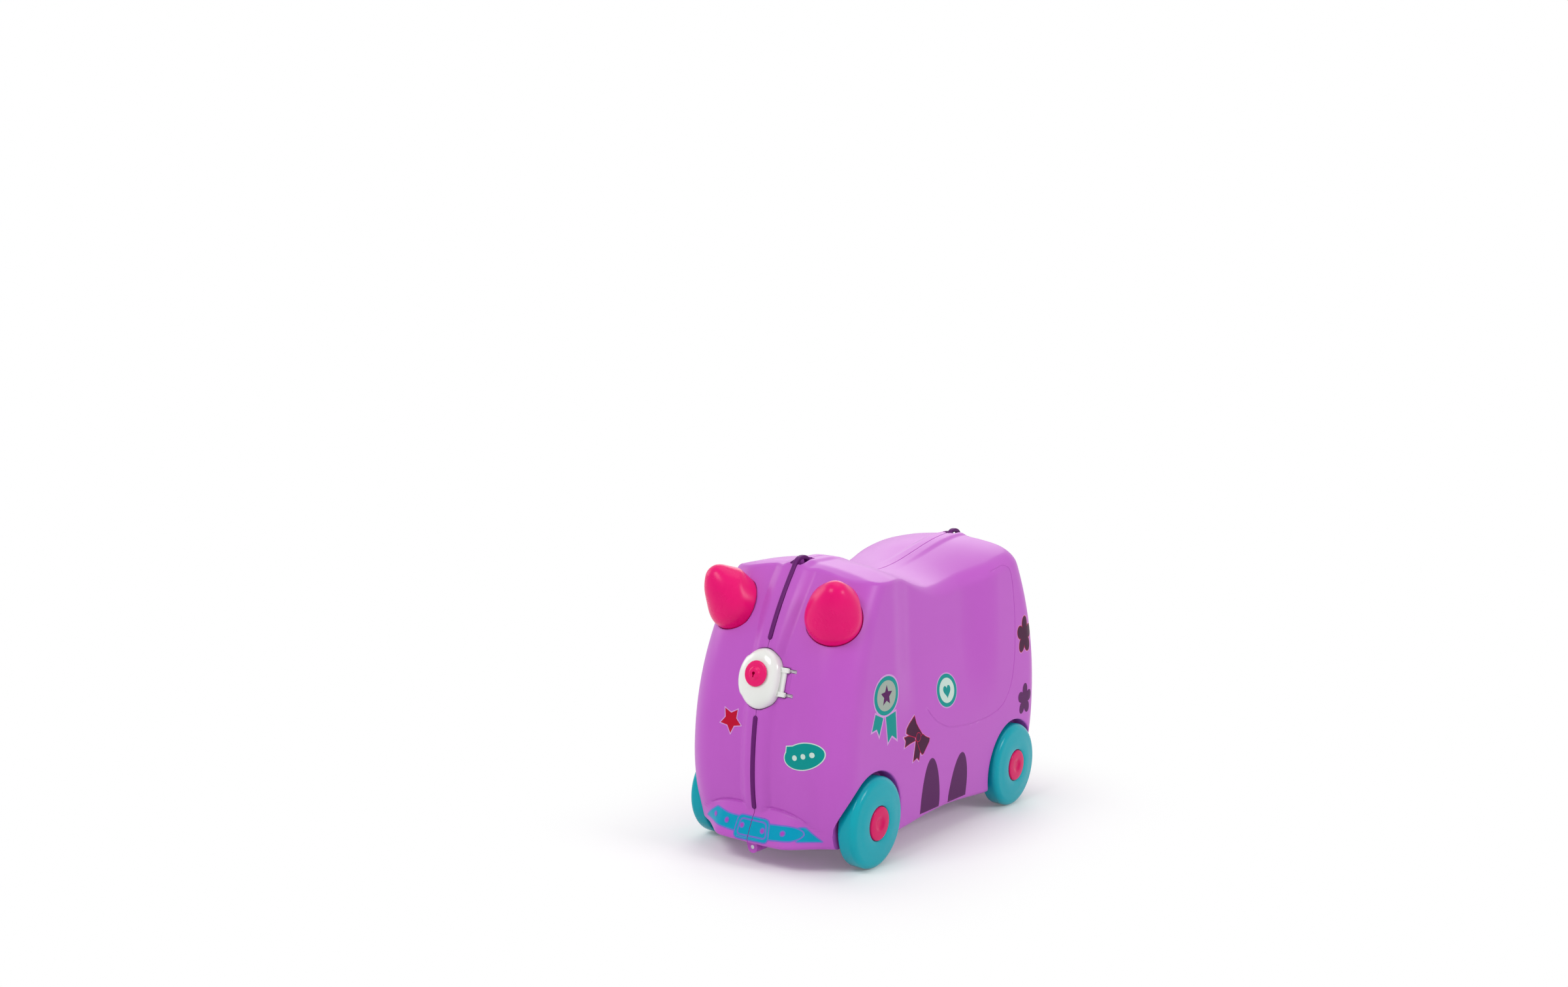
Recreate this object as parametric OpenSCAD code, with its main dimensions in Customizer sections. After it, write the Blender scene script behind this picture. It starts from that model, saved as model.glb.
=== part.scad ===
// Child's ride-on suitcase: two moulded half shells hinged under the belly,
// on four wheels, with a hinged catch cover and key lock at each end.
// The length runs along Y with the front toward -Y. Z is up, the floor is z = 0.

/* [Body] */
// Widest width of the closed shell
body_w = 195; // [185:1:205]
// Distance from the origin to the end faces at their fullest level
half_len = 217.5; // [212:0.5:223]
// Height of the two crests at the seam
crest_h = 299; // [290:1:306]
// Clearance under the belly at the two ends
belly_h = 25; // [23:1:28]
// Plan radius of the four upright corners
corner_r = 39; // [34:1:44]
// Rounding of the top and bottom edges
edge_r = 5; // [3:0.5:7]
// Wall thickness of the moulding
wall = 2.6; // [2.2:0.1:3.2]
// How far the front face leans back at the crest
front_lean = 60.5; // [50:0.5:66]
// How far the rear face leans in at the crest
rear_lean = 46; // [38:0.5:52]
// Depth of the saddle below the crests
saddle_dip = 24; // [10:1:30]
// Depth of the recess for the rider's leg
leg_dip = 12; // [6:0.5:15]
// Height of the raised ridge along the seam
ridge_h = 5; // [3:0.5:6]
// Outward slope of the lower lip at each end
chin_slope = 0.72; // [0.5:0.02:0.8]
// Gap between the two halves
seam_gap = 0.4; // [0.3:0.1:0.8]

/* [Wheels] */
// Wheel diameter
wheel_d = 93; // [88:1:94]
// Wheel width
wheel_w = 20.5; // [19:0.5:22]
// Distance of the axles from the origin
hub_y = 146; // [142:1:148]
// Position of the outer face of the wheels
wheel_x = 103.4; // [102:0.1:106]
// Gap between a wheel and its arch
arch_gap = 5; // [4:0.5:7]
// Axle diameter
axle_d = 8; // [6:0.5:9]
// Hub cap diameter
cap_d = 34.6; // [28:0.2:38]
// Ribs on the hidden side of a wheel
wheel_ribs = 6; // [4:1:8]

/* [Grips] */
// Wide radius of a grip at its foot
grip_r = 28.5; // [26:0.5:29]
// Radius of the rounded tip
grip_tip_r = 15; // [13:0.5:16]
// Length of a grip from its foot to the centre of its tip
grip_len = 31; // [27:1:34]

/* [Catches] */
// Width of the oval cover
cover_w = 51.5; // [50:0.5:53]
// Height of the oval cover
cover_h = 61; // [57:0.5:64]
// Thickness of the cover at its middle
cover_t = 10; // [9:0.5:11]
// Backward tilt of the catches in degrees
catch_tilt = 14; // [12:0.5:16]
// Radius of the lock knob
knob_r = 13; // [11:0.5:13.5]

/* [Trim] */
// Width of the soft strip in the seam
trim_w = 4.4; // [4:0.2:5]
// How far the strip stands proud
trim_up = 1; // [0.6:0.1:1.4]
// Radius of the hinge knuckles under the belly
knuckle_r = 6; // [5:0.25:6.25]
// Hinge pin diameter
pin_d = 4; // [3:0.5:5]

/* [Hidden] */
$fn = 48;

belt_z = 107;                       // level where the body is longest
shoulder_z = 110;                   // level where the body is widest
wheel_r = wheel_d / 2;
well_r = wheel_r + arch_gap;
well_x = wheel_x - wheel_w - 2.5;   // inner wall of the wheel wells
hinge_z = belly_h - knuckle_r - 0.5;
fit = 0.3;                          // gap round pieces that are seated
hub_in = 62;                        // inner end of the hub bosses
hinge_ys = [-206, 0, 206];
catch_z = 188.5;
catch_front = 212;                  // where the catch frames stand, near the ridge
catch_rear = 214.5;
rim_out = -5;                       // rim of the covers in the catch frame
seat_z = -5.4;                      // floor of the seat under a cover
keeper_z = -5.5;
knob_up = 4;                        // height of the knob above the middle of the cover
arm_y = 12;                         // the two arms of a cover
pivot_x = 33.5;
pivot_z = -10.3;
grip_at = [60, -177.3, 252];
grip_n = [0.42, -0.82, 0.39] / norm([0.42, -0.82, 0.39]);
grip_tip = [10.3, -14.3, 25.7] / norm([10.3, -14.3, 25.7]);
eye_front = -146.5;                 // middle of the two strap eyes
eye_rear = 161.5;
strips = [[-1, 226, 294, 1], [-1, 57.5, 152, 0], [1, 226, 294, 1], [1, 57.5, 152, 0]];

// Blend from 0 at a to 1 at b, either way round
function smooth(a, b, x) = let (t = min(1, max(0, (x - a) / (b - a)))) t * t * (3 - 2 * t);

// Half width of the shell at level z
function half_w(z) = body_w / 2
    - (z > shoulder_z ? 0.00032 * pow(z - shoulder_z, 2) : 0.0005 * pow(shoulder_z - z, 2));

// Distance of an end face at level z, before its ridge and lip
function face_y(z, lean) = half_len
    - (z > belt_z ? lean * pow((z - belt_z) / 187, 2.2) : 14.6 * pow((belt_z - z) / 82, 2));

// Raised ridge along the seam with a soft valley beside it
function ridge(x, z) = let (wide = 1 + 0.35 * smooth(180, 290, z))
    ridge_h * (1 - smooth(8 * wide, 21 * wide, x))
    - 2.2 * smooth(14, 26 * wide, x) * (1 - smooth(26 * wide, 46, x));

// Level of the crease above the lower lip
function crease_z(x) = 60.5 - 9.5 * pow(max(0, x - 20) / 39, 2.4);
function lip(x, z) = chin_slope * max(0, crease_z(x) - z) * (1 - smooth(36, 76, x));

// Relief of an end face: the lip and the ridge meet in a W-shaped crease
function relief(x, z) = let (a = ridge(x, z), b = lip(x, z))
    (a + b + sqrt(pow(a - b, 2) + 1.5)) / 2 - 0.1 - 3 * pow(x / 90, 2);

// Recess for the rider's leg, in from the side
function leg_recess(y, z) = leg_dip * smooth(112, 215, z)
    * smooth(-119, -63, y) * (1 - smooth(39, 107, y));

// Height of the top at x, y and of the belly
function saddle(y) = y < -6.5 ? (y > -114.5 ? pow(cos(90 * (y + 6.5) / 108), 2) : 0)
    : (y < 158.5 ? pow(cos(90 * (y + 6.5) / 165), 2) : 0);
function top_z(x, y) = crest_h - saddle_dip * saddle(y) - 0.0019 * x * x
    + 2.5 * (1 - smooth(9, 17, x)) * (1 - saddle(y)) - 3.5 * smooth(-141, -161, y);
function belly_z(y) = belly_h - 2 * smooth(150, 115, abs(y)) + 6.5 * pow(max(0, 1 - pow(y / 108, 2)), 2);

// Steps of the plan outline: seam to corner at each end, and along the side
runs = [0, 0.13, 0.23, 0.35, 0.47, 0.62, 0.8, 1];
arcs = [22.5, 45];
n_end = len(runs) - 1 + len(arcs);
sides = [67.5, 90];
spans = [for (i = [1:14]) i / 15];
n_side = 2 * len(sides) + len(spans);
n_ring = 2 * n_end + n_side;

// Point k of the plan outline at level z, inset by d, before relief
function plan(k, z, d) = let (
        w = half_w(z) - d, f = face_y(z, front_lean) - d,
        b = face_y(z, rear_lean) - d, r = corner_r - d)
    k < len(runs) ? [(w - r) * runs[k], -f] :
    k <= n_end ? let (a = arcs[k - len(runs)]) [w - r + r * sin(a), r - f - r * cos(a)] :
    k <= n_end + len(sides) ? let (a = sides[k - n_end - 1]) [w - r + r * sin(a), r - f - r * cos(a)] :
    k < n_end + n_side - len(sides) ? [w, (r - f) + (b + f - 2 * r) * spans[k - n_end - len(sides) - 1]] :
    plan_back(n_ring - k, w, b, r);
function plan_back(j, w, b, r) =
    j < len(runs) ? [(w - r) * runs[j], b] :
    let (a = j <= n_end ? arcs[j - len(runs)] : sides[j - n_end - 1])
        [w - r + r * sin(a), b - r + r * cos(a)];

// The outline with its relief; rim thickens the wall beside the seam
function ring(k, z, d, rim) = let (p = plan(k, z, d),
        end = k <= n_end || k >= n_ring - n_end,
        g = end ? 1 : 0,
        e = g * (relief(p.x, z) - rim * (1 - smooth(6, 10, p.x))),
        s = k > n_end && k < n_ring - n_end ? leg_recess(p.y, z) : 0)
    [p.x - s, p.y + (p.y < 0 ? -e : e)];

// Levels up the wall as [fraction of height, inset, rise]
levels = [[0, 1, 0], [0, 0.3, 0.3], [0, 0, 1], [0.05, 0, 0], [0.08, 0, 0], [0.106, 0, 0],
    [0.13, 0, 0], [0.165, 0, 0], [0.22, 0, 0], [0.32, 0, 0], [0.44, 0, 0], [0.56, 0, 0], [0.68, 0, 0],
    [0.78, 0, 0], [0.87, 0, 0], [0.94, 0, 0], [1, 0, -1], [1, 0.3, -0.3], [1, 1, 0]];
n_up = len(levels) - 1;

// Height where the wall meets the top at outline point k
function rim_z(k, d) = let (p = ring(k, 285, d, 0), z = top_z(p.x, p.y), q = ring(k, z, d, 0))
    top_z(q.x, q.y);
function wall_point(k, i, d, x0, rim) = let (l = levels[i], r = max(1, edge_r - d),
        p = plan(k, 100, d), zb = belly_z(p.y) + d, zt = rim_z(k, d) - d,
        z = zb + (zt - zb) * l[0] + r * l[2], q = ring(k, z, d + r * l[1], rim))
    [k == 0 || k == n_ring ? x0 : q.x, q.y,
     z + (l[0] < 0.5 ? 1 : -1) * (l[1] > 0 || l[2] != 0 ? rim * (1 - smooth(6, 10, q.x)) : 0)];

// Grid point of the top or belly, blended between the four borders of the patch
function patch(i, j, lv, d, x0, rim) = let (
        s = i / n_end, a = wall_point(n_end, lv, d, x0, rim), b = wall_point(n_end + n_side, lv, d, x0, rim),
        e = wall_point(n_end + j, lv, d, x0, rim), t = (e.y - a.y) / (b.y - a.y),
        p0 = wall_point(0, lv, d, x0, rim), p1 = wall_point(n_ring, lv, d, x0, rim),
        f = wall_point(i, lv, d, x0, rim), g = wall_point(n_ring - i, lv, d, x0, rim),
        c = [x0, p0.y + (p1.y - p0.y) * t],
        x = (1 - t) * f.x + t * g.x + (1 - s) * c.x + s * e.x
            - ((1 - s) * ((1 - t) * p0.x + t * p1.x) + s * ((1 - t) * a.x + t * b.x)),
        y = (1 - t) * f.y + t * g.y + (1 - s) * c.y + s * e.y
            - ((1 - s) * ((1 - t) * p0.y + t * p1.y) + s * ((1 - t) * a.y + t * b.y)),
        q = rim * (1 - smooth(6, 10, x)))
    [x, y, lv == 0 ? belly_z(y) + d + q : top_z(max(0, x), y) - d - q];

// Solid bounded by the body surface inset by d and by the plane x = x0
module body_solid(d, x0, rim = 0) {
    step = n_ring + 1;
    base = step * (n_up + 1);
    extra = n_end * (n_side - 1);
    points = concat(
        [for (i = [0:n_up], k = [0:n_ring]) wall_point(k, i, d, x0, rim)],
        [for (lv = [0, n_up], j = [1:n_side - 1], i = [0:n_end - 1]) patch(i, j, lv, d, x0, rim)],
        [[x0, 0, (crest_h + belly_h) / 2]]);
    function id(i, j, lv) = j == 0 ? lv * step + i : j == n_side ? lv * step + n_ring - i :
        i == n_end ? lv * step + n_end + j :
        base + (lv == 0 ? 0 : extra) + (j - 1) * n_end + i;
    seam = concat([for (j = [0:n_side]) id(0, j, 0)], [for (i = [1:n_up - 1]) i * step + n_ring],
        [for (j = [n_side:-1:0]) id(0, j, n_up)], [for (i = [n_up - 1:-1:1]) i * step]);
    faces = concat(
        [for (i = [0:n_up - 1], k = [0:n_ring - 1]) let (a = i * step + k)
            each [[a, a + step, a + 1], [a + 1, a + step, a + step + 1]]],
        [for (i = [0:n_end - 1], j = [0:n_side - 1])
            each [[id(i, j, 0), id(i + 1, j, 0), id(i + 1, j + 1, 0)],
                  [id(i, j, 0), id(i + 1, j + 1, 0), id(i, j + 1, 0)],
                  [id(i, j, n_up), id(i + 1, j + 1, n_up), id(i + 1, j, n_up)],
                  [id(i, j, n_up), id(i, j + 1, n_up), id(i + 1, j + 1, n_up)]]],
        [for (i = [0:len(seam) - 1]) [seam[i], seam[(i + 1) % len(seam)], len(points) - 1]]);
    polyhedron(points, faces, convexity = 6);
}

// Frame of a wheel well on the +X side, Z along the axle
module at_wheels() {
    for (s = [-1, 1]) translate([0, s * hub_y, wheel_r]) rotate([0, 90, 0]) children();
}
// Frame of a catch: X to the right, Y up the face, Z out of it
module at_catch(end) {
    mirror([0, end > 0 ? 1 : 0, 0]) translate([0, -(end > 0 ? catch_rear : catch_front), catch_z])
        rotate([90 - catch_tilt, 0, 0]) children();
}
module at_catches() { for (end = [-1, 1]) at_catch(end) children(); }
// Frame of a grip foot, Z out of the shell
module at_grip() { translate(grip_at) rotate([0, acos(grip_n.z), atan2(grip_n.y, grip_n.x)]) children(); }

// What stands in the hollow: wheel wells with hub bosses and ribs, catch and strap blocks
module inner_blocks() {
    at_wheels() {
        translate([0, 0, well_x - wall]) cylinder(r = well_r + wall, h = 60);
        translate([0, 0, hub_in]) cylinder(r = 9, h = 30);
        intersection() {
            translate([0, 0, hub_in + 6]) cylinder(r = well_r, h = 20);
            for (a = [0, 90]) rotate(a) translate([-1, -well_r, 0]) cube([2, 2 * well_r, 90]);
        }
    }
    at_catches() translate([-2, -34, -18]) cube([46, 68, 30]);
    at_grip() translate([0, 0, -10]) cylinder(r = grip_r + fit + wall, h = 20);
    for (b = [eye_front, eye_rear]) translate([-2, b - 16, crest_h - 15]) cube([14, 32, 30]);
}
// What is cut from the outside: wells, grip socket, catch seats, strap eyes and the strip grooves
module outer_cuts() {
    at_wheels() {
        translate([0, 0, well_x]) cylinder(r = well_r, h = 60);
        translate([0, 0, hub_in + 4]) cylinder(d = axle_d, h = 60);
    }
    at_grip() translate([0, 0, -7]) cylinder(r = grip_r + fit, h = 40);
    for (b = [eye_front, eye_rear]) translate([-8, b - 12.5, crest_h - 11]) cube([16, 25, 30]);
    for (s = strips) strip(s, trim_w + 2 * fit, 6, -2.9, fit);
}
// Seats of the covers, with room in the middle for the lock
module seat_cuts() {
    at_catches() {
        translate([0, 0, seat_z]) linear_extrude(30) polygon(cover_outline(0.6));
        translate([0, knob_up, -10.5]) cylinder(r = 6.5, h = 20);
        translate([-6.5, knob_up, -10.5]) cube([13, 15, 20]);
    }
}

// Pockets for the arms of the covers and their pins, in the right half only
module pivot_cuts() {
    at_catches() {
        for (y = [-arm_y, arm_y]) translate([0, y - 3.3, 0]) {
            translate([pivot_x, 0, pivot_z]) rotate([-90, 0, 0]) cylinder(r = 3.6, h = 6.6);
            translate([18, 0, pivot_z]) cube([pivot_x - 11.2, 6.6, 30]);
        }
        translate([pivot_x, -17, pivot_z]) rotate([-90, 0, 0]) cylinder(d = 3, h = 34);
    }
}

// Keeper seat and the sweep of the lock cam, in the left half only
module keeper_cuts() {
    at_catches() {
        intersection() {
            translate([0, knob_up, -10.5]) cylinder(r = 14.6, h = 12);
            translate([-20, knob_up - 6.5, -12]) cube([20, 24, 20]);
        }
        translate([-20 - fit, -5 - fit, keeper_z - 1.2]) cube([13.2 + 2 * fit, 22 + 2 * fit, 12]);
    }
}

// Hinge knuckles hang under the belly: two on the left half, one between them on the right
module lug(y, len, side) {
    translate([0, y, hinge_z]) rotate([-90, 0, 0]) difference() {
        union() {
            cylinder(r = knuckle_r, h = len);
            linear_extrude(len) polygon([[side * 0.3, 0], [side * 0.3, -12], [side * 11, -12], [side * knuckle_r, 0]]);
        }
        translate([0, 0, -1]) cylinder(d = pin_d + (side > 0 ? 0.1 : 0), h = len + 2);
    }
}
module lugs(side) {
    for (y = hinge_ys) if (side < 0) { lug(y - 12, 7, -1); lug(y + 5, 7, -1); } else lug(y - 4.7, 9.4, 1);
}
// The lugs end where the hollow begins
module belly_lugs(side) {
    difference() {
        lugs(side);
        translate([-100, -300, belly_h + 6.5]) cube([200, 600, 40]);
        for (y = [-1, 1]) translate([-100, y > 0 ? 205 + 9 : -405, belly_h + 2]) cube([200, 191, 40]);
    }
}

module shell_half() {
    difference() {
        body_solid(0, seam_gap / 2);
        difference() { body_solid(wall, -1, 3.4); inner_blocks(); }
        outer_cuts();
    }
}
module case_right() {
    color("mediumorchid") {
        difference() { shell_half(); seat_cuts(); pivot_cuts(); }
        belly_lugs(1);
    }
}
module case_left() {
    color("mediumorchid") {
        difference() { mirror([1, 0, 0]) shell_half(); seat_cuts(); keeper_cuts(); }
        belly_lugs(-1);
    }
}

// Front or rear face of the ridge at the seam
function seam_y(z, end) = end < 0 ? -face_y(z, front_lean) - ridge_h : face_y(z, rear_lean) + ridge_h;
// A strip is [end, lower level, upper level, 1 when it runs on over the strap eye]
function strip_path(s) = let (e = s[0], n = 14) concat(
    [for (i = [0:n]) let (z = s[1] + (s[2] - s[1]) * i / n) [seam_y(z, e), z]],
    s[3] == 0 ? [] : let (y = seam_y(s[2], e), c = crest_h + 5.2)
        [[y - e * 3.2, c - 4.6], [y - e * 8.4, c - 1.1], [y - e * 15.4, c], [y - e * 21.6, c - 1.6],
         [y - e * 25, c - 6], [y - e * 25.6, crest_h - 11]]);
// Offset of a path by w along its left side
function shifted(p, w) = [for (i = [0:len(p) - 1]) let (
    t = p[min(len(p) - 1, i + 1)] - p[max(0, i - 1)], u = t / norm(t)) p[i] + w * [-u.y, u.x]];
module strip(s, w, up, down, more = 0) {
    p = strip_path(s[3] == 0 ? [s[0], s[1] - more, s[2] + more, 0] : [s[0], s[1] - more, s[2], 1]);
    q = s[0] < 0 ? shifted(p, up) : shifted(p, -up);
    r = s[0] < 0 ? shifted(p, down) : shifted(p, -down);
    translate([-w / 2, 0, 0]) rotate([90, 0, 90]) linear_extrude(w)
        polygon(concat(q, [for (i = [len(r) - 1:-1:0]) r[i]]));
}
module trim(s) { color("indigo") strip(s, trim_w, trim_up, -2.6); }

// Grip: a straight foot in its socket, a taper that leans up and out, and a round tip.
// A ring is [distance along the axis, radius, blend from foot to tip direction]
grip_cone = 33;                     // half angle where the taper meets the tip
function grip_taper(t, h) = let (r = grip_tip_r * cos(grip_cone), d = tan(grip_cone))
    (2 * pow(t, 3) - 3 * t * t + 1) * grip_r - 0.15 * h * (pow(t, 3) - 2 * t * t + t)
    + (3 * t * t - 2 * pow(t, 3)) * r - d * h * (pow(t, 3) - t * t);
grip_rings = let (h = grip_len + grip_tip_r * sin(grip_cone)) concat([[-6.7, grip_r, 0]],
    [for (i = [0:6]) let (t = i / 7) [3.5 + t * (h - 3.5), grip_taper(t, h), smooth(-0.2, 1, t)]],
    [for (a = [grip_cone:9.5:84]) [grip_len + grip_tip_r * sin(a), grip_tip_r * cos(a), 1]]);
module grip() {
    n = 28;
    points = [for (g = grip_rings) let (v = grip_n * (1 - g[2]) + grip_tip * g[2], d = v / norm(v),
            u = cross([0, 0, 1], d) / norm(cross([0, 0, 1], d)), w = cross(d, u),
            k = smooth(1, 24, g[0]), c = grip_at + g[0] * (grip_n * (1 - k) + grip_tip * k))
        each [for (a = [0:n - 1]) c + g[1] * (cos(360 * a / n) * u + sin(360 * a / n) * w)]];
    m = len(grip_rings) - 1;
    faces = concat(
        [for (i = [0:m - 1], a = [0:n - 1]) let (b = (a + 1) % n)
            each [[i * n + a, i * n + n + a, i * n + b], [i * n + b, i * n + n + a, i * n + n + b]]],
        [[for (a = [0:n - 1]) a], [for (a = [n - 1:-1:0]) m * n + a]]);
    color("deeppink") polyhedron(points, faces, convexity = 3);
}

// Wheel with a rolled shoulder, a cap recess outside and ribs inside
module wheel() {
    w = wheel_w; r = wheel_r; c = cap_d / 2 + 0.3;
    color("darkcyan") translate([0, 0, wheel_x - w]) difference() {
        union() {
            rotate_extrude($fn = 96) polygon(concat(
                [[axle_d / 2 + 0.05, 0], [12, 0], [12, w - 8], [r - 8, w - 9.5], [r - 4.2, 1.2], [r - 3.4, 0],
                 [r - 1, 0.4], [r, 1.6]],
                [for (a = [0:15:90]) [r - 8 + 8 * cos(a), w - 7.4 + 6.4 * sin(a)]],
                [[r - 16, w - 0.2], [c + 6, w], [c + 1.4, w - 0.5], [c, w - 1.2], [c, w - 5], [axle_d / 2 + 0.05, w - 5]]));
            for (i = [0:wheel_ribs - 1]) rotate(360 * i / wheel_ribs)
                translate([11, -1.3, 1.5]) cube([r - 17, 2.6, w - 10]);
        }
        translate([0, 0, -1]) cylinder(d = axle_d + 0.1, h = w + 2);
    }
}
module hub_cap() {
    r = cap_d / 2;
    color("deeppink") translate([0, 0, wheel_x]) rotate_extrude($fn = 72) polygon(concat(
        [[0, -4.7], [r - 0.5, -4.7], [r, -4.2]],
        [for (a = [0:15:90]) [r - 1.8 + 1.8 * cos(a), -1.2 + 1.8 * sin(a)]],
        [[9, 0.9], [7, 0.6], [4.5, -0.4], [0, -0.8]]));
}
module axle() { color("silver") translate([0, 0, hub_in + 4.2]) cylinder(d = axle_d, h = wheel_x - hub_in - 10); }
module at_wheel(x, y) {
    mirror([x < 0 ? 1 : 0, 0, 0]) translate([0, y * hub_y, wheel_r]) rotate([0, 90, 0]) children();
}

// Outline of the oval cover with its finger tab at the left, grown by g
function cover_outline(g) = [for (a = [0:7.5:352.5]) let (t = 1 - smooth(0, 44, abs(a - 177)))
    [(cover_w / 2 + g) * cos(a) - 1.6 * t, (cover_h / 2 + g) * sin(a)]];
// Domed cap over that outline: rim at z0, crown at z1
module dome(g, z0, z1) {
    o = cover_outline(g);
    n = len(o);
    rows = [[1, 0], [1, 0.5], [0.985, 0.62], [0.94, 0.72], [0.84, 0.83], [0.66, 0.92], [0.42, 0.975], [0.18, 0.998]];
    points = concat([for (r = rows) each [for (p = o) [p.x * r[0], p.y * r[0], z0 + (z1 - z0) * r[1]]]], [[0, 0, z1]]);
    m = len(rows) - 1;
    faces = concat(
        [for (i = [0:m - 1], a = [0:n - 1]) let (b = (a + 1) % n)
            each [[i * n + a, i * n + n + a, i * n + b], [i * n + b, i * n + n + a, i * n + n + b]]],
        [for (a = [0:n - 1]) [m * n + a, (m + 1) * n, m * n + (a + 1) % n]],
        [[for (a = [0:n - 1]) a]]);
    polyhedron(points, faces, convexity = 4);
}
module catch_cover() {
    color("ghostwhite") difference() {
        union() {
            difference() { dome(0, rim_out, cover_t); dome(-2.2, rim_out - 2, cover_t - 2.2); }
            translate([0, knob_up, -3]) cylinder(r = 7, h = cover_t + 2);
            for (y = [-arm_y, arm_y]) translate([0, y + 2.5, 0]) rotate([90, 0, 0]) linear_extrude(5) union() {
                translate([pivot_x, pivot_z]) circle(r = 3);
                polygon([[cover_w / 2 - 3.2, rim_out], [cover_w / 2 - 3.2, rim_out + 4.4], [cover_w / 2 + 1.4, rim_out + 2.6],
                    [pivot_x + 1.2, pivot_z + 2.7], [pivot_x, pivot_z], [pivot_x - 2.9, pivot_z + 0.3]]);
            }
        }
        translate([0, knob_up, -20]) cylinder(r = 4.05, h = 60);
        translate([pivot_x, -30, pivot_z]) rotate([-90, 0, 0]) cylinder(r = 1.55, h = 60);
    }
}
module catch_pin() { color("silver") translate([pivot_x, -16.5, pivot_z]) rotate([-90, 0, 0]) cylinder(d = 3, h = 33); }

// Lock knob with a keyed nose, on a stem through the cover
module lock_barrel() {
    color("deeppink") translate([0, knob_up, 0]) difference() {
        union() {
            translate([0, 0, -7.2]) cylinder(r = 4, h = cover_t + 8.2);
            translate([0, 0, cover_t + 0.2]) rotate_extrude() polygon(concat([[0, 0], [knob_r, 0]],
                [for (a = [0:18:90]) [knob_r - 2 + 2 * cos(a), 0.6 + 1.6 * sin(a)]], [[6.6, 2.6], [0, 2.6]]));
            translate([0, 0, cover_t + 2]) rotate_extrude() polygon([[0, 0], [6, 0], [5.4, 2.4], [4.6, 3.2], [0, 3.2]]);
        }
        translate([0, 0, cover_t - 1]) { cylinder(r = 1.7, h = 9); translate([-0.7, -4, 0]) cube([1.4, 4, 9]); }
    }
}
// Finger that swings behind the keeper when the key is turned
module lock_cam() {
    color("silver") translate([0, knob_up, -9.6]) linear_extrude(2.4) union() {
        circle(r = 5.5);
        polygon([[-4.5, 0], [4.5, 0], [4, 11], [2.5, 13], [-2.5, 13], [-4, 11]]);
    }
}
module keeper() {
    color("silver") translate([-20, -5, keeper_z - 1.2]) difference() {
        cube([13.2, 22, 1.2]);
        for (y = [3, 19]) translate([2.6, y, -1]) cylinder(r = 1.1, h = 4);
    }
}
module hinge_pin(y) { color("silver") translate([0, y - 12, hinge_z]) rotate([-90, 0, 0]) cylinder(d = pin_d, h = 24); }

case_left();
case_right();
hinge_pin(hinge_ys[0]);  // hinge_pin_front
hinge_pin(hinge_ys[1]);  // hinge_pin_middle
hinge_pin(hinge_ys[2]);  // hinge_pin_rear
trim(strips[0]);  // trim_front_upper
trim(strips[1]);  // trim_front_lower
trim(strips[2]);  // trim_rear_upper
trim(strips[3]);  // trim_rear_lower
mirror([1, 0, 0]) grip();  // grip_left
grip();  // grip_right
at_wheel(-1, -1) axle();  // axle_front_left
at_wheel(1, -1) axle();  // axle_front_right
at_wheel(-1, 1) axle();  // axle_rear_left
at_wheel(1, 1) axle();  // axle_rear_right
at_wheel(-1, -1) wheel();  // wheel_front_left
at_wheel(1, -1) wheel();  // wheel_front_right
at_wheel(-1, 1) wheel();  // wheel_rear_left
at_wheel(1, 1) wheel();  // wheel_rear_right
at_wheel(-1, -1) hub_cap();  // hub_cap_front_left
at_wheel(1, -1) hub_cap();  // hub_cap_front_right
at_wheel(-1, 1) hub_cap();  // hub_cap_rear_left
at_wheel(1, 1) hub_cap();  // hub_cap_rear_right
at_catch(-1) keeper();  // keeper_front
at_catch(1) keeper();  // keeper_rear
at_catch(-1) catch_pin();  // catch_pin_front
at_catch(1) catch_pin();  // catch_pin_rear
at_catch(-1) catch_cover();  // catch_cover_front
at_catch(1) catch_cover();  // catch_cover_rear
at_catch(-1) lock_barrel();  // lock_barrel_front
at_catch(1) lock_barrel();  // lock_barrel_rear
at_catch(-1) lock_cam();  // lock_cam_front
at_catch(1) lock_cam();  // lock_cam_rear
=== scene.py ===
"""Child's ride-on suitcase: its finishes and fine forms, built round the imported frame."""

import logging
import math
from dataclasses import dataclass, field
from enum import Enum
from typing import Iterable, Sequence

import bmesh
import bpy
import numpy as np
from mathutils import Matrix, Vector
from mathutils.bvhtree import BVHTree
from mathutils.geometry import delaunay_2d_cdt


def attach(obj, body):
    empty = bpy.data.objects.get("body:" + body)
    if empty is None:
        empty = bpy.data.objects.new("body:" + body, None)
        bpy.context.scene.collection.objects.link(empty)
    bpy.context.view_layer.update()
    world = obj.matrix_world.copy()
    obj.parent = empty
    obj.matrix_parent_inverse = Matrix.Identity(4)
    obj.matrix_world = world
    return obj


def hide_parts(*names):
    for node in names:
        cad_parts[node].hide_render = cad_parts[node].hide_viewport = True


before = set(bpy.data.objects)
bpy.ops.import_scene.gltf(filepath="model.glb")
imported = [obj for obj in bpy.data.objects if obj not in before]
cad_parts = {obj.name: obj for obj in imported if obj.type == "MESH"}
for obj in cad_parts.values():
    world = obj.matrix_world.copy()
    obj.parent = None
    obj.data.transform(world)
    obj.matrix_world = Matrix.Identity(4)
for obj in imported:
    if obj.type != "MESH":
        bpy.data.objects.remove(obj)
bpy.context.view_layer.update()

LOG = logging.getLogger("ride_on_case")
MM = 0.001
Point2 = tuple[float, float]
Point3 = tuple[float, float, float]
Outline = Sequence[Point2]
Array = np.ndarray
Obj = bpy.types.Object
Node = bpy.types.ShaderNode
Socket = bpy.types.NodeSocket
Tree = bpy.types.NodeTree


# Small helpers for numbers and outlines

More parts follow.
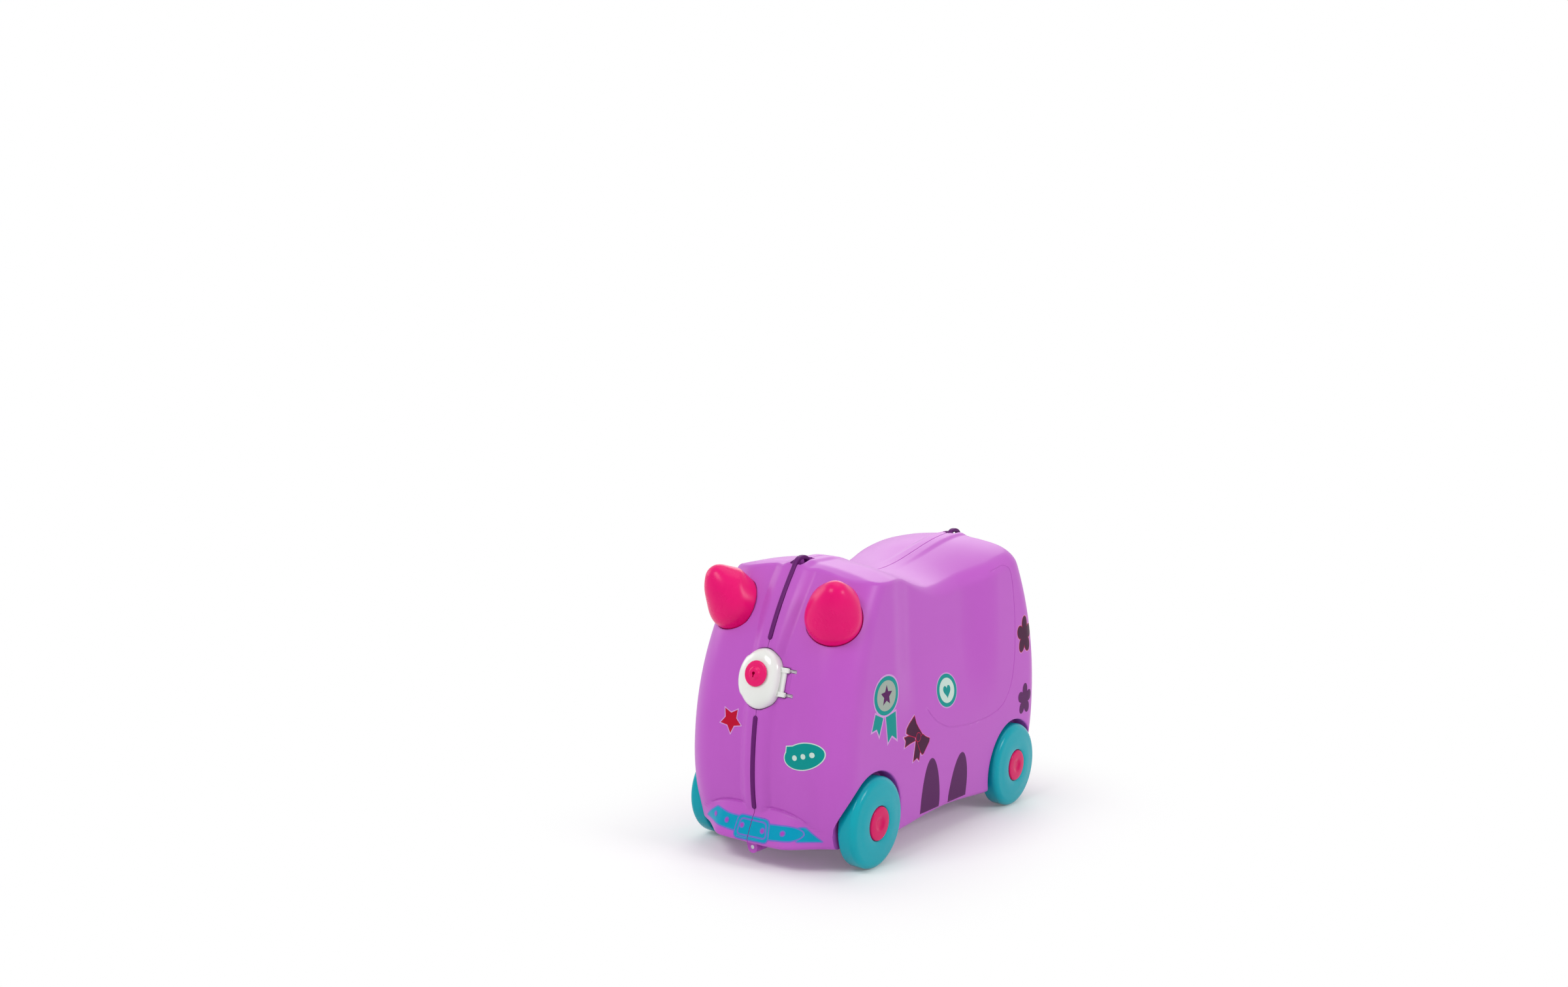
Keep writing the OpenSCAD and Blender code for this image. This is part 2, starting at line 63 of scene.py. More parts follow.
def smooth(a: float, b: float, x: Array | float) -> Array:
    """Blend from 0 at a to 1 at b, either way round."""
    t = np.clip((np.asarray(x, float) - a) / (b - a), 0.0, 1.0)
    return t * t * (3.0 - 2.0 * t)


def arc_points(centre: Point2, radius: float, start: float, stop: float, steps: int) -> list[Point2]:
    """Points of an arc.

    Args:
        centre: The middle of the arc.
        radius: Its radius.
        start: First angle in degrees.
        stop: Last angle in degrees.
        steps: Number of steps.

    Returns:
        steps + 1 points from start to stop.
    """
    angles = np.radians(np.linspace(start, stop, steps + 1))
    return [(centre[0] + radius * math.cos(a), centre[1] + radius * math.sin(a)) for a in angles]


def flowing(points: Sequence[Sequence[float]], steps: int, closed: bool = False) -> Array:
    """Catmull-Rom curve through points.

    Args:
        points: The points that the curve passes.
        steps: Steps between two points.
        closed: Whether the curve returns to its first point.

    Returns:
        Points along the curve, one row each.
    """
    p = np.asarray(points, float)
    p = np.vstack([p[-1], p, p[:2]]) if closed else np.vstack([2 * p[0] - p[1], p, 2 * p[-1] - p[-2]])
    rows = []
    for a, b, c, d in zip(p, p[1:], p[2:], p[3:]):
        for t in np.arange(steps) / steps:
            rows.append(0.5 * (2 * b + (c - a) * t + (2 * a - 5 * b + 4 * c - d) * t ** 2
                               + (3 * b - a - 3 * c + d) * t ** 3))
    if not closed:
        rows.append(p[-2])
    return np.array(rows)


def turned(points: Iterable[Point2], degrees: float, scale: float = 1.0) -> list[Point2]:
    """Points turned about the origin and scaled."""
    c, s = math.cos(math.radians(degrees)) * scale, math.sin(math.radians(degrees)) * scale
    return [(x * c - y * s, x * s + y * c) for x, y in points]


def grown(points: Outline, by: float) -> list[Point2]:
    """Outline moved outward along its normals.

    Args:
        points: A closed outline, anticlockwise.
        by: Distance outward, or inward when negative.

    Returns:
        The moved outline.
    """
    p = np.asarray(points, float)
    ahead, behind = np.roll(p, -1, 0) - p, p - np.roll(p, 1, 0)
    ahead /= np.linalg.norm(ahead, axis=1)[:, None] + 1e-12
    behind /= np.linalg.norm(behind, axis=1)[:, None] + 1e-12
    normal = np.stack([ahead[:, 1] + behind[:, 1], -ahead[:, 0] - behind[:, 0]], 1)
    length = np.linalg.norm(normal, axis=1)[:, None]
    reach = np.minimum(2.0 / np.maximum(length, 0.5), 2.2)
    return [tuple(v) for v in p + by * reach * normal / (length + 1e-12)]


def clipped(points: Outline, least: float, sign: float) -> list[Point2]:
    """Part of an outline with sign * x over least."""
    kept: list[Point2] = []
    for a, b in zip(points, list(points[1:]) + [points[0]]):
        inside_a, inside_b = sign * a[0] >= least, sign * b[0] >= least
        if inside_a:
            kept.append(a)
        if inside_a != inside_b:
            t = (sign * least - a[0]) / (b[0] - a[0])
            kept.append((sign * least, a[1] + t * (b[1] - a[1])))
    return kept


def inside(point: Point2, outline: Outline) -> bool:
    """Whether a point lies in a closed outline."""
    odd = False
    for (xa, ya), (xb, yb) in zip(outline, list(outline[1:]) + [outline[0]]):
        if (ya > point[1]) != (yb > point[1]) and point[0] < xa + (point[1] - ya) * (xb - xa) / (yb - ya):
            odd = not odd
    return odd


# Mesh helpers

def scene_object(name: str, data: bpy.types.ID) -> Obj:
    """New object, linked to the scene."""
    obj = bpy.data.objects.new(name, data)
    bpy.context.scene.collection.objects.link(obj)
    return obj


def new_object(name: str, verts: Array, faces: Sequence[Sequence[int]]) -> Obj:
    """Object with a mesh of points in millimetres.

    Args:
        name: Name of the object.
        verts: Points in millimetres, one row each.
        faces: Corner lists.

    Returns:
        The object, linked to the scene, with its faces turned outward.
    """
    mesh = bpy.data.meshes.new(name)
    mesh.from_pydata((np.asarray(verts, float) * MM).tolist(), [], [list(map(int, f)) for f in faces])
    mesh.validate()
    obj = scene_object(name, mesh)
    outward(obj)
    return obj


def bands(count: int, sides: int) -> list[list[int]]:
    """Faces between count + 1 rings of points that follow one another."""
    return [[i * sides + k, i * sides + (k + 1) % sides, (i + 1) * sides + (k + 1) % sides,
             (i + 1) * sides + k]
            for i in range(count) for k in range(sides)]


def outward(obj: Obj) -> None:
    """Turns the faces of a closed mesh outward."""
    work = bmesh.new()
    work.from_mesh(obj.data)
    bmesh.ops.recalc_face_normals(work, faces=work.faces)
    work.to_mesh(obj.data)
    work.free()


def lathe(name: str, profile: Outline, place: Matrix, segments: int = 128) -> Obj:
    """Solid of revolution about the Z axis of a place.

    Args:
        name: Name of the object.
        profile: Points (radius, height) in millimetres from axis to axis.
        place: Frame of the solid, in millimetres.
        segments: Steps round the axis.

    Returns:
        The closed solid.
    """
    verts, rings = [], []
    for radius, height in profile:
        if radius < 1e-6:
            rings.append([len(verts)] * segments)
            verts.append((0.0, 0.0, height))
        else:
            rings.append(list(range(len(verts), len(verts) + segments)))
            verts += [(radius * math.cos(a), radius * math.sin(a), height)
                      for a in np.linspace(0, 2 * math.pi, segments, endpoint=False)]
    faces = []
    pairs = list(zip(rings, rings[1:]))
    if profile[0][0] > 1e-6:
        pairs.append((rings[-1], rings[0]))
    for low, high in pairs:
        for i in range(segments):
            j = (i + 1) % segments
            corners = [low[i], low[j], high[j], high[i]]
            unique = list(dict.fromkeys(corners))
            if len(unique) > 2:
                faces.append(unique)
    placed = [place @ Vector(v) for v in verts]
    return new_object(name, np.array(placed), faces)


def prism(name: str, outline: Outline, low: float, high: float, place: Matrix) -> Obj:
    """Straight solid over an outline, between two heights of a place."""
    n = len(outline)
    verts = [(x, y, low) for x, y in outline] + [(x, y, high) for x, y in outline]
    faces = [list(range(n))[::-1], list(range(n, 2 * n))]
    faces += [[i, (i + 1) % n, n + (i + 1) % n, n + i] for i in range(n)]
    return new_object(name, np.array([place @ Vector(v) for v in verts]), faces)


def block(name: str, low: Sequence[float], high: Sequence[float], place: Matrix) -> Obj:
    """Box between two corners of a place."""
    outline = [(low[0], low[1]), (high[0], low[1]), (high[0], high[1]), (low[0], high[1])]
    return prism(name, outline, low[2], high[2], place)


def tube(name: str, path: Array, radius: Sequence[float] | float, sides: int = 12) -> Obj:
    """Round tube along a path in millimetres, closed at its ends.

    Args:
        name: Name of the object.
        path: Points of the centre line.
        radius: One radius, or one for each point.
        sides: Corners of a ring.

    Returns:
        The closed tube.
    """
    p = np.asarray(path, float)
    radii = np.broadcast_to(np.asarray(radius, float), len(p))
    along = np.gradient(p, axis=0)
    along /= np.linalg.norm(along, axis=1)[:, None]
    across = np.cross(along[0], (0.3, 0.5, 0.8))
    verts = []
    for point, t, r in zip(p, along, radii):
        across = across - t * (across @ t)
        across /= np.linalg.norm(across)
        other = np.cross(t, across)
        verts += [point + r * (math.cos(a) * across + math.sin(a) * other)
                  for a in np.linspace(0, 2 * math.pi, sides, endpoint=False)]
    faces = bands(len(p) - 1, sides)
    last = (len(p) - 1) * sides
    faces += [list(range(sides))[::-1], list(range(last, last + sides))]
    return new_object(name, np.array(verts), faces)


def solid_mesh(obj: Obj) -> None:
    """Makes the modified mesh of an object its plain mesh."""
    bpy.context.view_layer.update()
    made = bpy.data.meshes.new_from_object(obj.evaluated_get(bpy.context.evaluated_depsgraph_get()))
    obj.modifiers.clear()
    obj.data = made


def carve(target: Obj, tool: Obj, operation: str = "DIFFERENCE") -> None:
    """Cuts, joins or intersects a closed mesh with another, which is used up.

    Args:
        target: The mesh that is changed.
        tool: The mesh that changes it.
        operation: DIFFERENCE, UNION or INTERSECT.
    """
    if any(target.data.materials) and not any(tool.data.materials):
        tool.data.materials.clear()
        tool.data.materials.append(target.data.materials[0])
    step = target.modifiers.new("carve", "BOOLEAN")
    step.operation = operation
    step.solver = "MANIFOLD"
    step.object = tool
    solid_mesh(target)
    bpy.data.objects.remove(tool)


def shade(obj: Obj, angle: float = 32.0) -> None:
    """Smooth shading with the edges over an angle kept sharp."""
    obj.data.shade_smooth()
    obj.data.set_sharp_from_angle(angle=math.radians(angle))


# The outer form of the case

@dataclass(frozen=True)
class CaseForm:
    """Outer form of the closed case, in millimetres, with X across and Y along."""

    width: float = 195.0
    half_len: float = 217.5
    crest: float = 299.0
    belly: float = 25.0
    corner: float = 39.0
    edge: float = 5.0
    front_edge: float = 2.8
    rear_edge: float = 12.0
    front_lean: float = 60.5
    rear_lean: float = 46.0
    saddle_dip: float = 24.0
    leg_dip: float = 12.0
    ridge_h: float = 5.0
    chin_slope: float = 0.72
    seam_x: float = 0.2
    waist: float = 110.0
    face_level: float = 107.0
    saddle_y: float = -6.5
    saddle_front: float = 108.0
    saddle_rear: float = 165.0

    def half_width(self, z: Array) -> Array:
        """Half width at level z."""
        above, below = np.maximum(z - self.waist, 0), np.maximum(self.waist - z, 0)
        return self.width / 2 - 0.00032 * above ** 2 - 0.0005 * below ** 2

    def face(self, z: Array, lean: float) -> Array:
        """Distance of an end face from the origin at level z."""
        above, below = np.maximum(z - self.face_level, 0) / 187, np.maximum(self.face_level - z, 0) / 82
        return self.half_len - lean * above ** 2.2 - 14.6 * below ** 2

    def relief(self, x: Array, z: Array) -> Array:
        """How far the ridge and the lower lip stand out of an end face."""
        wide = 1 + 0.35 * smooth(180, 290, z)
        ridge = (self.ridge_h * (1 - smooth(8, 21, x / wide))
                 - 2.2 * smooth(14, 26 * 1.15, x / wide * 1.07) * (1 - smooth(27, 46, x)))
        crease = 60.5 - 9.5 * (np.maximum(0, x - 20) / 39) ** 2.4
        below = np.maximum(0, crease - z)
        line = 0.9 * np.exp(-((z - crease - 0.3) / 0.9) ** 2) * smooth(9, 15, x) * (1 - smooth(64, 78, x))
        lip = (self.chin_slope * below + 0.8 * smooth(0, 1.8, below)) * (1 - smooth(36, 76, x))
        return (ridge + lip + np.sqrt((ridge - lip) ** 2 + 0.12)) / 2 - 0.1 - line - 3 * (x / 90) ** 2

    def leg_recess(self, y: Array, z: Array) -> Array:
        """Recess of the side for the rider's leg."""
        return self.leg_dip * smooth(112, 215, z) * smooth(-119, -63, y) * (1 - smooth(39, 107, y))

    def saddle(self, y: Array) -> Array:
        """Depth of the saddle along the length, from 0 to 1."""
        half = np.where(y < self.saddle_y, self.saddle_front, self.saddle_rear)
        t = np.clip((y - self.saddle_y) / half, -1, 1)
        return np.cos(t * math.pi / 2) ** 2

    def top(self, x: Array, y: Array) -> Array:
        """Height of the top."""
        dip = self.saddle(y)
        return (self.crest - self.saddle_dip * dip - 0.0019 * x ** 2
                + 2.5 * (1 - smooth(9, 17, x)) * (1 - dip) - 3.5 * smooth(-141, -161, y))

    def bottom(self, y: Array) -> Array:
        """Height of the belly."""
        arch = np.maximum(0, 1 - (y / 108) ** 2) ** 2
        return self.belly - 2 * smooth(150, 115, np.abs(y)) + 6.5 * arch


FORM = CaseForm()


@dataclass
class HalfBody:
    """Closed body of the +X half, from the seam plane to the skin inset by a depth.

    The skin is a grid of columns round the plan and levels up the wall, and two patches
    blended between their borders close the top and the belly.
    """

    depth: float = 0.0
    seam: float = 0.2
    rim: float = 0.0
    seam_round: float = 0.0
    runs: Array = field(default_factory=lambda: np.linspace(0, 1, 40))
    arcs: Array = field(default_factory=lambda: np.linspace(7.5, 90, 12))
    spans: int = 90
    wall_rows: int = 90
    round_rows: int = 5

    def __post_init__(self) -> None:
        """Works out the columns and levels of the grid."""
        run = np.concatenate([self.runs, np.ones(len(self.arcs))])
        arc = np.concatenate([np.zeros(len(self.runs)), self.arcs])
        span = np.arange(1, self.spans + 1) / (self.spans + 1)
        blank = np.zeros(self.spans)
        self.run = np.concatenate([run, blank + 1, run[::-1]])
        self.arc = np.concatenate([arc, blank + 90, arc[::-1]])
        self.span = np.concatenate([0 * run, span, 0 * run])
        self.part = np.concatenate([0 * run - 1, blank, 0 * run + 1])
        self.n_end = len(self.runs) - 1 + int(np.sum(self.arcs <= 45.01))
        self.n_ring = len(self.run) - 1
        self.n_side = self.n_ring - 2 * self.n_end
        turn = np.radians(np.linspace(0, 90, self.round_rows + 1))
        low = [(0.0, 1 - math.sin(a), 1 - math.cos(a)) for a in turn]
        lip = [(v, 0.0, 0.0) for v in np.linspace(0.02, 0.15, self.wall_rows // 2)]
        rest = [(v, 0.0, 0.0) for v in np.linspace(0.157, 0.94, self.wall_rows - self.wall_rows // 3)]
        high = [(1.0, i, -r) for _, i, r in reversed(low)]
        self.levels = low + lip + rest + high

    def plan(self, z: Array, inset: Array) -> tuple[Array, Array]:
        """Plan outline at a level for each column, before the relief."""
        wide = FORM.half_width(z) - inset
        front = FORM.face(z, FORM.front_lean) - inset
        rear = FORM.face(z, FORM.rear_lean) - inset
        r = FORM.corner - inset
        a = np.radians(self.arc)
        flat = wide - r - self.seam
        x = np.where(self.part == 0, wide, self.seam + flat * self.run + r * np.sin(a))
        bend = r * (1 - np.cos(a))
        y = np.where(self.part < 0, bend - front,
                     np.where(self.part > 0, rear - bend, (r - front) + (rear + front - 2 * r) * self.span))
        return x, y

    def thick(self, x: Array) -> Array:
        """Extra inset near the seam: the thick rim and the rounded seam edge."""
        rim = self.rim * (1 - smooth(6, 10, x))
        if self.seam_round <= 0:
            return rim
        near = self.seam_round - np.minimum(self.seam_round, x - self.seam)
        return rim + self.seam_round - np.sqrt(np.maximum(self.seam_round ** 2 - near ** 2, 0))

    def ring(self, z: Array, inset: Array) -> tuple[Array, Array]:
        """Outline at a level with its relief, for each column."""
        x, y = self.plan(z, inset)
        fade = np.where(self.part == 0, 0.0, 1 - smooth(30, 75, self.arc))
        out = np.sign(y) * (fade * FORM.relief(x, z) - np.where(self.part == 0, 0, self.thick(x)))
        return x - FORM.leg_recess(y, z), y + out

    def level(self, share: float, inset: float, rise: float) -> Array:
        """Points of one level, for each column."""
        d = self.depth
        flat = np.full(len(self.run), 0.0)
        _, y = self.plan(flat + 100, flat + d)
        low = FORM.bottom(y) + d
        x2, y2 = self.ring(flat + 285, flat + d)
        x2, y2 = self.ring(FORM.top(x2, y2), flat + d)
        high = FORM.top(x2, y2) - d
        edge = (FORM.edge if share < 0.5 else
                FORM.front_edge + (FORM.rear_edge - FORM.front_edge) * smooth(-150, 40, y))
        r = np.maximum(1.0, edge - d)
        z = low + (high - low) * share + r * rise
        x, y = self.ring(z, d + r * inset)
        if inset > 0 or rise != 0:
            q = self.thick(x)
            z = FORM.bottom(y) + d + r * rise + q if share < 0.5 else FORM.top(np.maximum(x, 0),
                                                                               y) - d + r * rise - q
        x[0] = x[-1] = self.seam
        return np.stack([x, y, z], 1)

    def patch(self, border: Array, top: bool) -> Array:
        """Inner points of the top or the belly, blended between the borders."""
        n, m = self.n_end, self.n_side
        a, b = border[n], border[n + m]
        first, last = border[0], border[-1]
        rows = []
        for j in range(1, m):
            e = border[n + j]
            t = (e[1] - a[1]) / (b[1] - a[1])
            f, g = border[:n], border[::-1][:n]
            s = ((f[:, 0] - first[0]) / (a[0] - first[0]))[:, None]
            c = np.array([self.seam, first[1] + (last[1] - first[1]) * t, 0])
            p = ((1 - t) * f + t * g + (1 - s) * c + s * e
                 - (1 - s) * ((1 - t) * first + t * last) - s * ((1 - t) * a + t * b))
            x, y = p[:, 0], p[:, 1]
            q = self.thick(x)
            roof = FORM.top(np.maximum(0, x), y) - self.depth - q
            p[:, 2] = roof if top else FORM.bottom(y) + self.depth + q
            rows.append(p)
        return np.vstack(rows)

    def build(self, name: str) -> Obj:
        """Makes the closed body as an object."""
        rows = [self.level(*lv) for lv in self.levels]
        step, top = self.n_ring + 1, len(rows) - 1
        n, m = self.n_end, self.n_side
        base = step * len(rows)
        verts = rows + [self.patch(rows[0], False), self.patch(rows[-1], True),
                        np.array([[self.seam, 0, (FORM.crest + FORM.belly) / 2]])]
        faces = []
        for i in range(top):
            faces += [[i * step + k, i * step + k + 1, (i + 1) * step + k + 1, (i + 1) * step + k]
                      for k in range(self.n_ring)]
        grids = []
        for lv, start in ((0, base), (top, base + n * (m - 1))):
            grid = np.zeros((m + 1, n + 1), int)
            grid[0] = lv * step + np.arange(n + 1)
            grid[m] = lv * step + self.n_ring - np.arange(n + 1)
            grid[:, n] = lv * step + n + np.arange(m + 1)
            grid[1:m, :n] = start + np.arange(n * (m - 1)).reshape(m - 1, n)
            grids.append(grid)
            faces += [[grid[j, i], grid[j, i + 1], grid[j + 1, i + 1], grid[j + 1, i]]
                      for j in range(m) for i in range(n)]
        loop = (list(grids[0][:, 0]) + [i * step + self.n_ring for i in range(1, top)]
                + list(grids[1][::-1, 0]) + [i * step for i in range(top - 1, 0, -1)])
        verts = np.vstack(verts)
        faces += [[p, q, len(verts) - 1] for p, q in zip(loop, loop[1:] + loop[:1])]
        return new_object(name, verts, faces)


def seam_runs(count: int) -> Array:
    """Column positions across an end face, close together at the seam, ridge and valleys."""
    near = [0, 0.0016, 0.0036, 0.0062, 0.0105, 0.03, 0.06]
    return np.concatenate([near, np.linspace(0.09, 1.0, count)])


def fine_body(seam: float, seam_round: float = 0.0) -> HalfBody:
    """Grid of the outer skin, from the seam plane on."""
    return HalfBody(seam=seam, seam_round=seam_round, runs=seam_runs(38), arcs=np.linspace(6, 90, 15),
                    spans=110,
                    wall_rows=110, round_rows=8)


def mirrored(obj: Obj) -> Obj:
    """Turns a mesh of the +X side into that of the -X side."""
    obj.data.transform(Matrix.Scale(-1, 4, (1, 0, 0)))
    outward(obj)
    return obj


class Skin:
    """The outer skin of the closed case, which rays can find."""

    def __init__(self) -> None:
        """Builds both sides of the skin for ray casting."""
        verts, polys = [], []
        for side in (1, -1):
            body = fine_body(0.0).build("skin_probe")
            start = len(verts)
            verts += [Vector((side * v.co.x, v.co.y, v.co.z)) / MM for v in body.data.vertices]
            polys += [[start + i for i in p.vertices] for p in body.data.polygons]
            bpy.data.objects.remove(body)
        self.tree = BVHTree.FromPolygons(verts, polys)

    def find(self, origin: Vector, direction: Vector) -> tuple[Vector, Vector] | None:
        """Point and outward normal where a ray meets the skin, in millimetres."""
        point, normal, _, _ = self.tree.ray_cast(origin, direction)
        if point is None:
            return None
        return point, (normal if normal.dot(direction) < 0 else -normal)


# Places on the case

def axes_matrix(right: Sequence[float], up: Sequence[float], out: Sequence[float],
                origin: Sequence[float] = (0, 0, 0)) -> Matrix:
    """Matrix whose columns are the given directions."""
    m = Matrix((right, up, out)).transposed().to_4x4()
    m.translation = Vector(origin)
    return m


class Side(Enum):
    """A side of the case as its viewer sees it: right, up and outward."""

    FRONT = ((1, 0, 0), (0, 0, 1), (0, -1, 0))
    RIGHT = ((0, 1, 0), (0, 0, 1), (1, 0, 0))
    LEFT = ((0, -1, 0), (0, 0, 1), (-1, 0, 0))

    @property
    def matrix(self) -> Matrix:
        """Frame of the side, through the origin."""
        return axes_matrix(*self.value)


@dataclass(frozen=True)
class CatchPlace:
    """Where a catch stands: X to the right, Y up the face, Z outward."""

    end: int
    tilt: float = 14.0
    level: float = 188.5
    front: float = 212.0
    rear: float = 214.5

    @property
    def matrix(self) -> Matrix:
        """Frame of the catch; the rear one is mirrored along the length."""
        stand = Matrix.Translation((0, -(self.front if self.end < 0 else self.rear), self.level))
        turn = Matrix.Rotation(math.radians(90 - self.tilt), 4, "X")
        flip = Matrix.Scale(-1, 4, (0, 1, 0)) if self.end > 0 else Matrix.Identity(4)
        return flip @ stand @ turn


def side_on(place: Matrix) -> Matrix:
    """Frame turned so that its Z runs along the place's Y."""
    return place @ Matrix.Rotation(math.radians(-90), 4, "X")


def wheel_place(side: int, end: int, axle_y: float = 146.0, radius: float = 46.5) -> Matrix:
    """Frame of a wheel: Z outward along its axle."""
    turn = Matrix.Rotation(math.radians(90 * side), 4, "Y")
    return Matrix.Translation((0, end * axle_y, radius)) @ turn


@dataclass(frozen=True)
class GripPlace:
    """Foot and lean of the grip on the +X side."""

    at: Point3 = (60, -177.3, 252)
    foot: Point3 = (0.42, -0.82, 0.39)
    tip: Point3 = (10.3, -14.3, 25.7)

    @property
    def matrix(self) -> Matrix:
        """Frame of the foot, Z out of the shell."""
        n = Vector(self.foot).normalized()
        u = Vector((0, 0, 1)).cross(n).normalized()
        return axes_matrix(u, n.cross(u), n, self.at)


# Shared shader groups

def linear(colour: Sequence[float]) -> tuple[float, float, float, float]:
    """Linear colour with alpha from display values of 0 to 255."""
    parts = [c / 255 for c in colour]
    r, g, b = (c / 12.92 if c <= 0.04045 else ((c + 0.055) / 1.055) ** 2.4 for c in parts)
    return (r, g, b, 1.0)


class Draft:
    """A node tree while it is being drawn up."""

    def __init__(self, tree: Tree) -> None:
        """Starts on a tree."""
        self.tree = tree

    def add(self, kind: str, sockets: dict | None = None, **settings: object) -> Node:
        """Adds a node.

        Args:
            kind: Full name of the node type.
            sockets: Input name or index to a value, or to an output socket to link from.
            settings: Properties of the node.

        Returns:
            The new node.
        """
        node = self.tree.nodes.new(kind)
        for key, value in settings.items():
            setattr(node, key, value)
        for key, value in (sockets or {}).items():
            if isinstance(value, Socket):
                self.tree.links.new(value, node.inputs[key])
            else:
                node.inputs[key].default_value = value
        return node

    def link(self, output: Socket, node: Node, name: str) -> None:
        """Links an output to an input of a node."""
        self.tree.links.new(output, node.inputs[name])

    def math(self, operation: str, *values: object, clamp: bool = False) -> Socket:
        """Adds a Math node and returns its output."""
        node = self.add("ShaderNodeMath", dict(enumerate(values)), operation=operation, use_clamp=clamp)
        return node.outputs[0]

    def times(self, first: object, second: object, clamp: bool = False) -> Socket:
        """Product of two values."""
        return self.math("MULTIPLY", first, second, clamp=clamp)

    def mix(self, factor: object, first: object, second: object, blend: str = "MIX") -> Socket:
        """Mixes two colours and returns the result."""
        node = self.add("ShaderNodeMix", {0: factor, 6: first, 7: second}, data_type="RGBA", blend_type=blend)
        return node.outputs[2]

    def ramp(self, factor: object, low: float, high: float) -> Socket:
        """Smooth step of a value between two limits."""
        node = self.add("ShaderNodeMapRange", {0: factor, 1: low, 2: high, 3: 0.0, 4: 1.0},
                        interpolation_type="SMOOTHSTEP")
        return node.outputs[0]

    def noise(self, vector: object, scale: object, detail: float = 2.0, rough: float = 0.5) -> Socket:
        """Adds a Noise Texture and returns its value."""
        node = self.add("ShaderNodeTexNoise", {"Vector": vector, "Scale": scale, "Detail": detail,
                                               "Roughness": rough})
        return node.outputs[0]


def shader_group(name: str, inputs: dict[str, object], outputs: dict[str, str]) -> tuple[Draft, Node, Node]:
    """Starts a shader node group.

    Args:
        name: Name of the group.
        inputs: Socket name to its default; a triple is a vector and four values a colour.
        outputs: Socket name to its kind, Float or Color.

    Returns:
        The draft, its input node and its output node.
    """
    tree = bpy.data.node_groups.new(name, "ShaderNodeTree")
    for key, value in inputs.items():
        size = len(value) if isinstance(value, tuple) else 1
        kind = {1: "NodeSocketFloat", 3: "NodeSocketVector", 4: "NodeSocketColor"}[size]
        socket = tree.interface.new_socket(name=key, in_out="INPUT", socket_type=kind)
        socket.default_value = value
    for key, kind in outputs.items():
        tree.interface.new_socket(name=key, in_out="OUTPUT", socket_type="NodeSocket" + kind)
    draft = Draft(tree)
    return draft, draft.add("NodeGroupInput"), draft.add("NodeGroupOutput")


